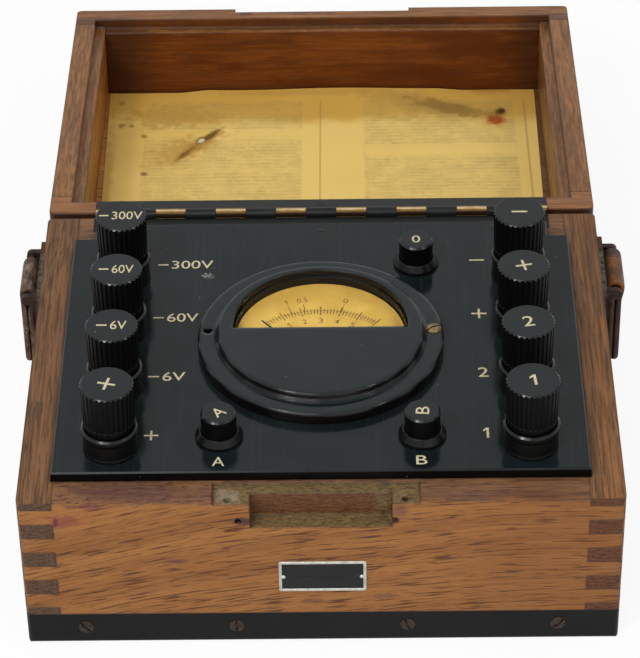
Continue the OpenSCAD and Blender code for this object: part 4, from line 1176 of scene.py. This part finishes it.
# %% Shape of the sheet
sheet_low, sheet_high = corners("lid_sheet")
sheet_faces = nodes["lid_sheet"].data.polygons
normals = np.zeros(len(sheet_faces) * 3)
sheet_faces.foreach_get("normal", normals)
normals = normals.reshape(-1, 3)
sheet_up = normals[np.argmax(normals[:, 2])]
lean = math.atan2(sheet_up[1], sheet_up[2])
near_edge = np.array([0, sheet_low[1] + 0.3, sheet_high[2]])
sheet_deep = (sheet_high[1] - sheet_low[1] - 0.4) / math.cos(lean)
far_left, far_right, near_left, near_right = -89.5, 88.9, 2.2, 1.6
knob_space, knob_border = 60, 12
curl_height, curl_start = 1.5, 0.86
waves = [(0.14, 9, 4), (0.1, -7, 23), (0.06, 31, 17)]
wave_share, sink, paper_thick, glue_depth = 0.6, 0.05, 0.14, 0.02


def sheet_shape():
    """Upper and lower face of the sheet as one loop of rows, laid along the lid's lean.

    Waves are sines of the two directions, and they fade to the edges. The curl is the square of the way past
    its start, and a slow sine along the edge varies it.
    """
    wide, deep = np.meshgrid(np.linspace(-0.5, 0.5, 121), np.linspace(0, 1, 91), indexing="xy")
    wave = sum(height * np.sin(across * wide + down * deep) for height, across, down in waves)
    left_edge, right_edge = far_left + near_left * (1 - deep), far_right - near_right * (1 - deep)
    x, along = left_edge + (right_edge - left_edge) * (wide + 0.5), sheet_deep * deep
    between_knobs = np.clip((knob_space - np.abs(x)) / knob_border, 0, 1)
    curled = np.clip((deep - curl_start) / (1 - curl_start), 0, 1) ** 2 * (1 + 0.25 * np.sin(14 * wide + 1))
    from_edges = np.minimum(np.minimum(deep, 1 - deep), 0.5 - np.abs(wide))
    top = curl_height * between_knobs * curled - sink + wave_share * wave * np.minimum(1, 6 * from_edges)
    bottom = top - paper_thick * (np.abs(wide) < 0.499)
    x, along = np.concatenate([x, x[::-1]]), np.concatenate([along, along[::-1]])
    lift = np.concatenate([top, bottom[::-1]])
    y = near_edge[1] + along * math.cos(lean) + lift * math.sin(lean)
    z = near_edge[2] - along * math.sin(lean) - glue_depth + lift * math.cos(lean)
    return np.stack([x, y, z], -1)


print("paper", round(sheet_deep, 1), "deep, leaning", round(math.degrees(lean), 2))

# %% [markdown]
# ## Print and age of the paper
# The paper has aged to ochre, most of all to its far edge and its left. The print is only rows of grey
# strokes: a row is a band that repeats down the sheet, and noise along the row breaks it into words. Strokes
# stand in two columns, with a rule between them and one at the right edge.

# %% Paper tones
row_height = 2.6
left_column, right_column = (-74.0, -8.0), (16.5, 80.0)
middle_rule, side_rule = -1.0, 84.0


def aged(tree, place, across, up):
    """Pale ochre that goes amber to the far edge and to the left; noise moves both borders."""
    yellowing = calc(tree, "SUBTRACT", cloud(tree, place, 0.03, 4.0, 0.6), 0.5)
    far = fade(tree, calc(tree, "MULTIPLY_ADD", yellowing, 22.0, up), 103.0, 116.0)
    left = fade(tree, calc(tree, "MULTIPLY_ADD", yellowing, -40.0, across), -30.0, -78.0, 0.0, 0.4)
    left = times(tree, left, fade(tree, up, 62.0, 84.0, 0.35, 1.0))
    age = calc(tree, "MAXIMUM", times(tree, far, 0.9), left)
    amount = calc(tree, "MULTIPLY_ADD", yellowing, 0.4, age)
    return tint(tree, amount, colour(0.77, 0.54, 0.162), colour(0.56, 0.32, 0.056))


def printed(tree, place, across, up, paper):
    """Rows of strokes in two columns, a grey shadow of the print, and two upright rules."""
    wobbly = calc(tree, "MULTIPLY_ADD", cloud(tree, place, 0.06, 2.0), 2.6, up)
    row = calc(tree, "DIVIDE", wobbly, row_height)
    row_number = calc(tree, "FLOOR", row)
    text_line = within(tree, calc(tree, "FRACT", row), 0.1, 0.8, 0.2)
    word_seed = joined(tree, times(tree, across, 0.3), times(tree, row_number, 7.3))
    words = fade(tree, cloud(tree, word_seed, 1.0, 1.0), 0.36, 0.46)
    letter_seed = joined(tree, times(tree, across, 1.6), times(tree, row, 2.3))
    letters = fade(tree, cloud(tree, letter_seed, 1.0, 1.0), 0.3, 0.65, 0.35, 1.0)
    left, right = within(tree, across, *left_column, 1.0), within(tree, across, *right_column, 1.0)
    block_seed = calc(tree, "MULTIPLY_ADD", right, 5.0, times(tree, row_number, 0.17))
    block = fade(tree, cloud(tree, joined(tree, block_seed), 1.0, 1.0), 0.34, 0.46)
    inside = within(tree, up, 4.0, 126.0, 2.0, 3.0)
    in_column = times(tree, calc(tree, "ADD", left, right), times(tree, inside, block))
    stroke = times(tree, text_line, words, times(tree, letters, in_column))
    faint = fade(tree, cloud(tree, place, 0.11, 4.0, 0.65), 0.38, 0.62, 0.03, 0.28)
    paper = tint(tree, times(tree, stroke, faint), paper, colour(0.2, 0.16, 0.07))
    shadow = fade(tree, cloud(tree, place, 0.12, 5.0, 0.75), 0.35, 0.65, 0.06, 0.27)
    paper = tint(tree, times(tree, in_column, shadow), paper, colour(0.27, 0.22, 0.09))
    from_middle = calc(tree, "ABSOLUTE", calc(tree, "ADD", across, -middle_rule))
    from_side = calc(tree, "ABSOLUTE", calc(tree, "SUBTRACT", across, side_rule))
    rules = calc(tree, "MAXIMUM", fade(tree, from_middle, 0.5, 0.2), fade(tree, from_side, 0.7, 0.2))
    return tint(tree, times(tree, rules, inside, 0.45), paper, colour(0.26, 0.18, 0.06))


print("rows of print", round(sheet_deep / row_height))

# %% [markdown]
# ## Blots and tears
# Rust, drops, a long scorch near the far edge and a tear with a pale middle mark the sheet, and one band
# along the far edge is painted shade. Each is a stain of its own on the paper: its place, its turn, its
# reach, its dye, how strong and how ragged it is.

# %% Blots
brown, tan, scorch = colour(0.2, 0.11, 0.032), colour(0.44, 0.25, 0.05), colour(0.36, 0.22, 0.05)
blots_and_shade = [
    ((72.1, 109.0), 0, (5.0, 6.6), colour(0.4, 0.05, 0.003), 1.0, 0.4),
    ((74.1, 114.9), 0, (3.0, 3.9), colour(0.04, 0.012, 0.005), 0.97, 0.4),
    ((-72.2, 68.0), 0, (1.9, 2.2), brown, 0.85, 0.4),
    ((-84.1, 124.8), 0, (1.6, 2.2), brown, 0.6, 0.4),
    ((-83.5, 107.0), 0, (1.8, 2.2), brown, 0.7, 0.4),
    ((-79.1, 106.4), 0, (1.5, 1.8), brown, 0.7, 0.4),
    ((-73.7, 97.8), 0, (1.8, 2.2), brown, 0.75, 0.4),
    ((69.7, 133.0), 0, (10, 4.0), colour(0.42, 0.19, 0.03), 0.6, 0.5),
    ((-64, 113.0), 0, (22, 11), tan, 0.65, 0.9),
    # Painted shade: a dark band along the far edge of the sheet.
    ((-10, 131.0), 0, (45, 3.0), tan, 0.5, 0.5),
    ((-88, 60.0), 0, (4.0, 55), colour(0.4, 0.2, 0.035), 0.5, 0.4),
    ((44, 122), -20, (40, 9), scorch, 0.5, 0.5),
    ((55, 118), -23, (24, 5.4), colour(0.19, 0.1, 0.022), 0.6, 0.6),
    ((-56, 88), 40, (20, 9), tan, 0.6, 0.8),
    ((-50.8, 91.3), 55, (19, 3.4), colour(0.36, 0.19, 0.036), 0.75, 0.6),
    ((-46.5, 97.6), 50, (9, 1.9), colour(0.13, 0.058, 0.012), 0.9, 0.5),
    ((-56.5, 83.0), 58, (9, 1.6), colour(0.2, 0.09, 0.018), 0.85, 0.5),
    ((-49.8, 94.2), 55, (3.4, 2.7), colour(0.12, 0.05, 0.012), 0.85, 0.4),
    ((-49.9, 93.9), 55, (2.4, 1.6), colour(0.68, 0.57, 0.34), 1.0, 0.3),
]
any_height = 999


def aged_paper():
    """Aged, printed and blotted paper, with fine fibres."""
    material, tree, shader = finish("aged paper", Specular_IOR_Level=0.12)
    place = here(tree)
    spot = parts(tree, place)
    up = calc(tree, "SUBTRACT", spot[1], near_edge[1])
    paper = printed(tree, place, spot[0], up, aged(tree, place, spot[0], up))
    for (blot_x, blot_up), turn, reach, dye, amount, ragged in blots_and_shade:
        centre = (blot_x, near_edge[1] + blot_up, 0)
        values = {"Vector": place, "Center": centre, "Axis": (0, 0, 1), "Angle": -math.radians(turn)}
        swung = put(tree, "VectorRotate", values).outputs[0]
        mask = stain(tree, swung, centre, (*reach, any_height), ragged)
        paper = tint(tree, times(tree, mask, amount), paper, dye)
    fibre = cloud(tree, place, 0.9, 3.0, 0.6)
    paper = tint(tree, fade(tree, fibre, 0.6, 0.8, 0.0, 0.2), paper, colour(0.42, 0.28, 0.08))
    feed(tree, shader.inputs, Base_Color=paper, Roughness=fade(tree, fibre, 0.2, 0.8, 0.75, 0.9))
    bump(tree, shader, fibre, 0.04)
    return material


paper_sheet = surface("paper_sheet", sheet_shape(), "lid", aged_paper(), wrap_rows=True,
                      smooth_angle=60)
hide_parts("lid_sheet")

# %% [markdown]
# ## Leather
# The straps' leather is cracked, and worn to red-brown where it bends. The left strap has dried out, so it is
# mottled grey, rust and black down its whole length. Cracks are the borders of Voronoi cells.

# %% Leather finish
def worn_leather():
    """Dark skin, a worn tone at the fold and on the left strap, and cracks along the cells' borders."""
    material, tree, shader = finish("worn leather", Specular_IOR_Level=0.35)
    place = here(tree)
    spot = parts(tree, place)
    creases = put(tree, "TexVoronoi", {"Vector": stretched(tree, place, 0.45, 0.9), "Scale": 1.0},
                  feature="DISTANCE_TO_EDGE").outputs[0]
    crack = fade(tree, creases, 0.06, 0.0)
    patch = cloud(tree, place, 0.14, 4.0, 0.6)
    flakes = streaky(tree, place, 0.5, 0.22, 5.0, 0.7)
    skin = grade(tree, patch, 0.35, 0.65, colour(0.06, 0.024, 0.014), colour(0.026, 0.014, 0.011))
    red_skin = grade(tree, patch, 0.4, 0.62, colour(0.205, 0.068, 0.011), colour(0.09, 0.033, 0.009))
    dry_skin = grade(tree, flakes, 0.38, 0.52, colour(0.026, 0.017, 0.011), colour(0.12, 0.064, 0.036))
    dry_skin = grade(tree, flakes, 0.53, 0.66, dry_skin, colour(0.24, 0.185, 0.125))
    worn_skin = tint(tree, calc(tree, "GREATER_THAN", spot[0], 0.0), dry_skin, red_skin)
    ragged_z = calc(tree, "MULTIPLY_ADD", patch, 6.0, spot[2])
    on_left = calc(tree, "LESS_THAN", spot[0], 0.0)
    bent = calc(tree, "MAXIMUM", fade(tree, ragged_z, rim_z - 10.5, rim_z - 7), on_left)
    fold = times(tree, bent, fade(tree, spot[1], back_y - 14, back_y - 19))
    skin = tint(tree, fold, skin, worn_skin)
    skin = tint(tree, times(tree, crack, 0.7), skin, colour(0.02, 0.011, 0.008))
    feed(tree, shader.inputs, Base_Color=skin, Roughness=fade(tree, patch, 0.2, 0.8, 0.4, 0.65))
    bump(tree, shader, calc(tree, "MULTIPLY_ADD", crack, -1.0, cloud(tree, place, 1.5, 3.0, 0.6)), 0.18)
    return material


leather = worn_leather()
print("finish", leather.name)

# %% [markdown]
# ## Straps
# Each strap is one length of leather folded over its bar, with both ends hanging. A flat oval section is
# carried along the fold: up, round the bar and down again. The loop stays close enough to the bar to clear
# the bracket's plate when the strap swings.

# %% Straps
strap_thick, swollen, end_length, end_width = 1.8, 4 / 3, 1.7, 0.94


def flat_section(width, thick, count=32):
    """A flat oval: a stretched circle with squared-off sides, by a power of the sine and cosine."""
    angle = np.linspace(0, 2 * math.pi, count, endpoint=False)
    cosine, sine = np.cos(angle), np.sin(angle)
    across = width / 2 * np.sign(cosine) * np.abs(cosine) ** 0.25
    through = thick / 2 * np.sign(sine) * np.abs(sine) ** 0.3
    return np.stack([across, through], -1)


def strap(side, near_y, far_y, tail_end, loop_out, tail_in, tail_out, neck):
    """Carries the flat section up one tail, round the bar and down the other.

    Each tail goes from the loop's radius to its own offset from the bar by half a cosine over the neck's
    length and swells by a third on the way. The two close at their ends by a quarter circle. The offsets are
    so close that the tails touch.
    """
    low, high = corners("strap_" + side)
    sign = -1 if side == "left" else 1
    loop = (high[0] - low[0]) / 2
    centre_x, centre_z = (low[0] + high[0]) / 2, high[2] - loop
    radius = loop - strap_thick / 2
    rise = np.concatenate([[0, 0.15, 0.45, 0.9, 1.4], np.linspace(2.0, centre_z - tail_end, 24)])
    tail = tail_end + rise
    round_end = np.sqrt(1 - (1 - np.clip(rise / end_length, 0, 1)) ** 2)
    ease = (1 + np.cos(math.pi * np.clip((centre_z - tail) / neck, 0, 1))) / 2
    between = (tail_in + tail_out) / 2
    inner = between + (tail_in - (radius + tail_in) * ease - between) * round_end
    outer = between + (tail_out + (loop_out - tail_out) * ease - between) * round_end
    turn = np.linspace(math.pi, 0, 30)[1:-1]
    round_x = np.where(np.cos(turn) > 0, loop_out, radius) * np.cos(turn)
    path_x = np.concatenate([inner, round_x, outer[::-1]])
    path_z = np.concatenate([tail, centre_z + radius * np.sin(turn), tail[::-1]])
    step_x, step_z = np.gradient(path_x), np.gradient(path_z)
    length = np.hypot(step_x, step_z)
    out_x, out_z = -step_z / length, step_x / length
    section = flat_section(far_y - near_y, strap_thick)
    end = np.concatenate([round_end, np.ones(len(turn)), round_end[::-1]])[:, None]
    fullness = swollen + (1 - swollen) * np.concatenate([ease, np.ones(len(turn)), ease[::-1]])[:, None]
    half_thick = section[None, :, 1] * end * fullness
    x = sign * (path_x[:, None] + out_x[:, None] * half_thick) + centre_x
    z = path_z[:, None] + out_z[:, None] * half_thick
    y = (near_y + far_y) / 2 + section[None, :, 0] * (end_width + (1 - end_width) * end)
    return np.stack([x, y, z], -1)


strap_shapes = {
    "left": strap("left", near_y=46.8, far_y=66.4, tail_end=23.2, loop_out=2.15, tail_in=-0.6, tail_out=1.8,
                  neck=8.0),
    "right": strap("right", near_y=47.6, far_y=68.6, tail_end=20.6, loop_out=2.6, tail_in=-0.95,
                   tail_out=1.45, neck=7.0)}
for side, shape in strap_shapes.items():
    piece = surface("leather_" + side, shape, "strap_" + side, leather, wrap_columns=True,
                    smooth_angle=60)
    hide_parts("strap_" + side)

# %% [markdown]
# ## Floor and room
# The photograph has a plain white ground and soft light from all round. The floor is a pale matte plane. For
# the camera, for mirrors and through glass, nine tenths of its white is its own, so that the ground stays
# white and still takes a soft shadow. The room is white for the same rays, and gives a dimmer light.

# %% Floor
def seen_directly(tree):
    """1 for rays from the camera, from a mirror or through glass, else 0."""
    ray = put(tree, "LightPath").outputs
    mirrored = calc(tree, "ADD", ray["Is Glossy Ray"], ray["Is Transmission Ray"])
    return calc(tree, "MINIMUM", calc(tree, "ADD", ray["Is Camera Ray"], mirrored), 1.0)


floor_half, floor_drop, own_white = 4000.0, 0.02, 0.9
floor_sides = [-floor_half, floor_half]
floor_grid = np.stack(np.meshgrid(floor_sides, floor_sides, indexing="xy"), -1)
floor_points = np.concatenate([floor_grid, np.full((2, 2, 1), -floor_drop)], -1)
floor_mesh = bpy.data.meshes.new("floor")
floor_quads = grid_quads(2, 2, False, False)
floor_mesh.from_pydata((floor_points.reshape(-1, 3) * MM).tolist(), [], floor_quads.tolist())
floor = add("floor", floor_mesh)
ground, tree, shader = finish("pale floor", Base_Color=colour(0.85, 0.85, 0.85), Roughness=0.9,
                              Specular_IOR_Level=0.0)
glow = put(tree, "Emission", {"Color": colour(1, 1, 1), "Strength": 1.0})
show(tree, times(tree, seen_directly(tree), own_white), shader, glow)
floor_mesh.materials.append(ground)
print("floor", 2 * floor_half, "wide")

# %% Room
room_light = 0.62
world = bpy.data.worlds.new("soft room")
bpy.context.scene.world = world
world.use_nodes = True
room = world.node_tree
room.nodes.clear()
strength = fade(room, seen_directly(room), 0.0, 1.0, room_light, 1.0)
sky = put(room, "Background", {"Color": colour(1.0, 1.0, 1.0), "Strength": strength})
put(room, "OutputWorld", {"Surface": sky.outputs[0]})
print("room light", room_light)

# %% [markdown]
# ## Lamps
# A broad lamp above the front left gives the object its shape. Two small ones, like windows, put the glints
# on the meter's ring and the knobs, and a weak broad one from the right fills the shadows.

# %% Lamps
lamp_target = (0, 0, 50)


def lamp(name, place, size, power):
    """A square soft lamp at a place, turned to the object."""
    light = bpy.data.lights.new(name, "AREA")
    light.size = size * MM
    light.energy = power
    holder = add(name, light)
    holder.location = Vector(place) * MM
    holder.rotation_mode = "QUATERNION"
    holder.rotation_quaternion = (Vector(lamp_target) - Vector(place)).to_track_quat("-Z", "Y")
    print("lamp", name, power, "W")


lamp("key", (-500, -900, 1300), 900, 11)
lamp("window", (-660, -850, 1250), 200, 4.5)
lamp("second window", (874, -408, 1149), 130, 1.5)
lamp("fill", (700, -1100, 500), 800, 1.6)

# %% [markdown]
# ## Camera
# The photograph was taken with a long lens from the front and above, almost straight and rolled by a degree.
# The camera's numbers were fitted to corners of the case and centres of the knobs. Its three axes are worked
# out from the angles and put into one matrix.

# %% Camera
image_width, image_height = 640, 658
focal_px = 3081.06
elevation, azimuth, roll = (math.radians(degrees) for degrees in (38.695, 0.670, -0.966))
camera_distance = 1087.98
camera_target = Vector((-0.223, 0, 74.851))
back = Vector((math.sin(azimuth) * math.cos(elevation), -math.cos(azimuth) * math.cos(elevation),
               math.sin(elevation)))
right = Vector((math.cos(azimuth), math.sin(azimuth), 0))
up = back.cross(right)
tilted_right = right * math.cos(roll) + up * math.sin(roll)
tilted_up = -right * math.sin(roll) + up * math.cos(roll)
lens = bpy.data.cameras.new("camera")
lens.sensor_width = 36.0
lens.lens = focal_px * lens.sensor_width / max(image_width, image_height)
lens.clip_start, lens.clip_end = 0.05, 20.0
camera = add("camera", lens)
camera_axes = Matrix((tilted_right, tilted_up, back)).transposed().to_4x4()
camera.matrix_world = Matrix.Translation((camera_target + back * camera_distance) * MM) @ camera_axes
bpy.context.scene.camera = camera
bpy.context.scene.view_settings.view_transform = "Standard"
print("lens", round(lens.lens, 2), "mm")
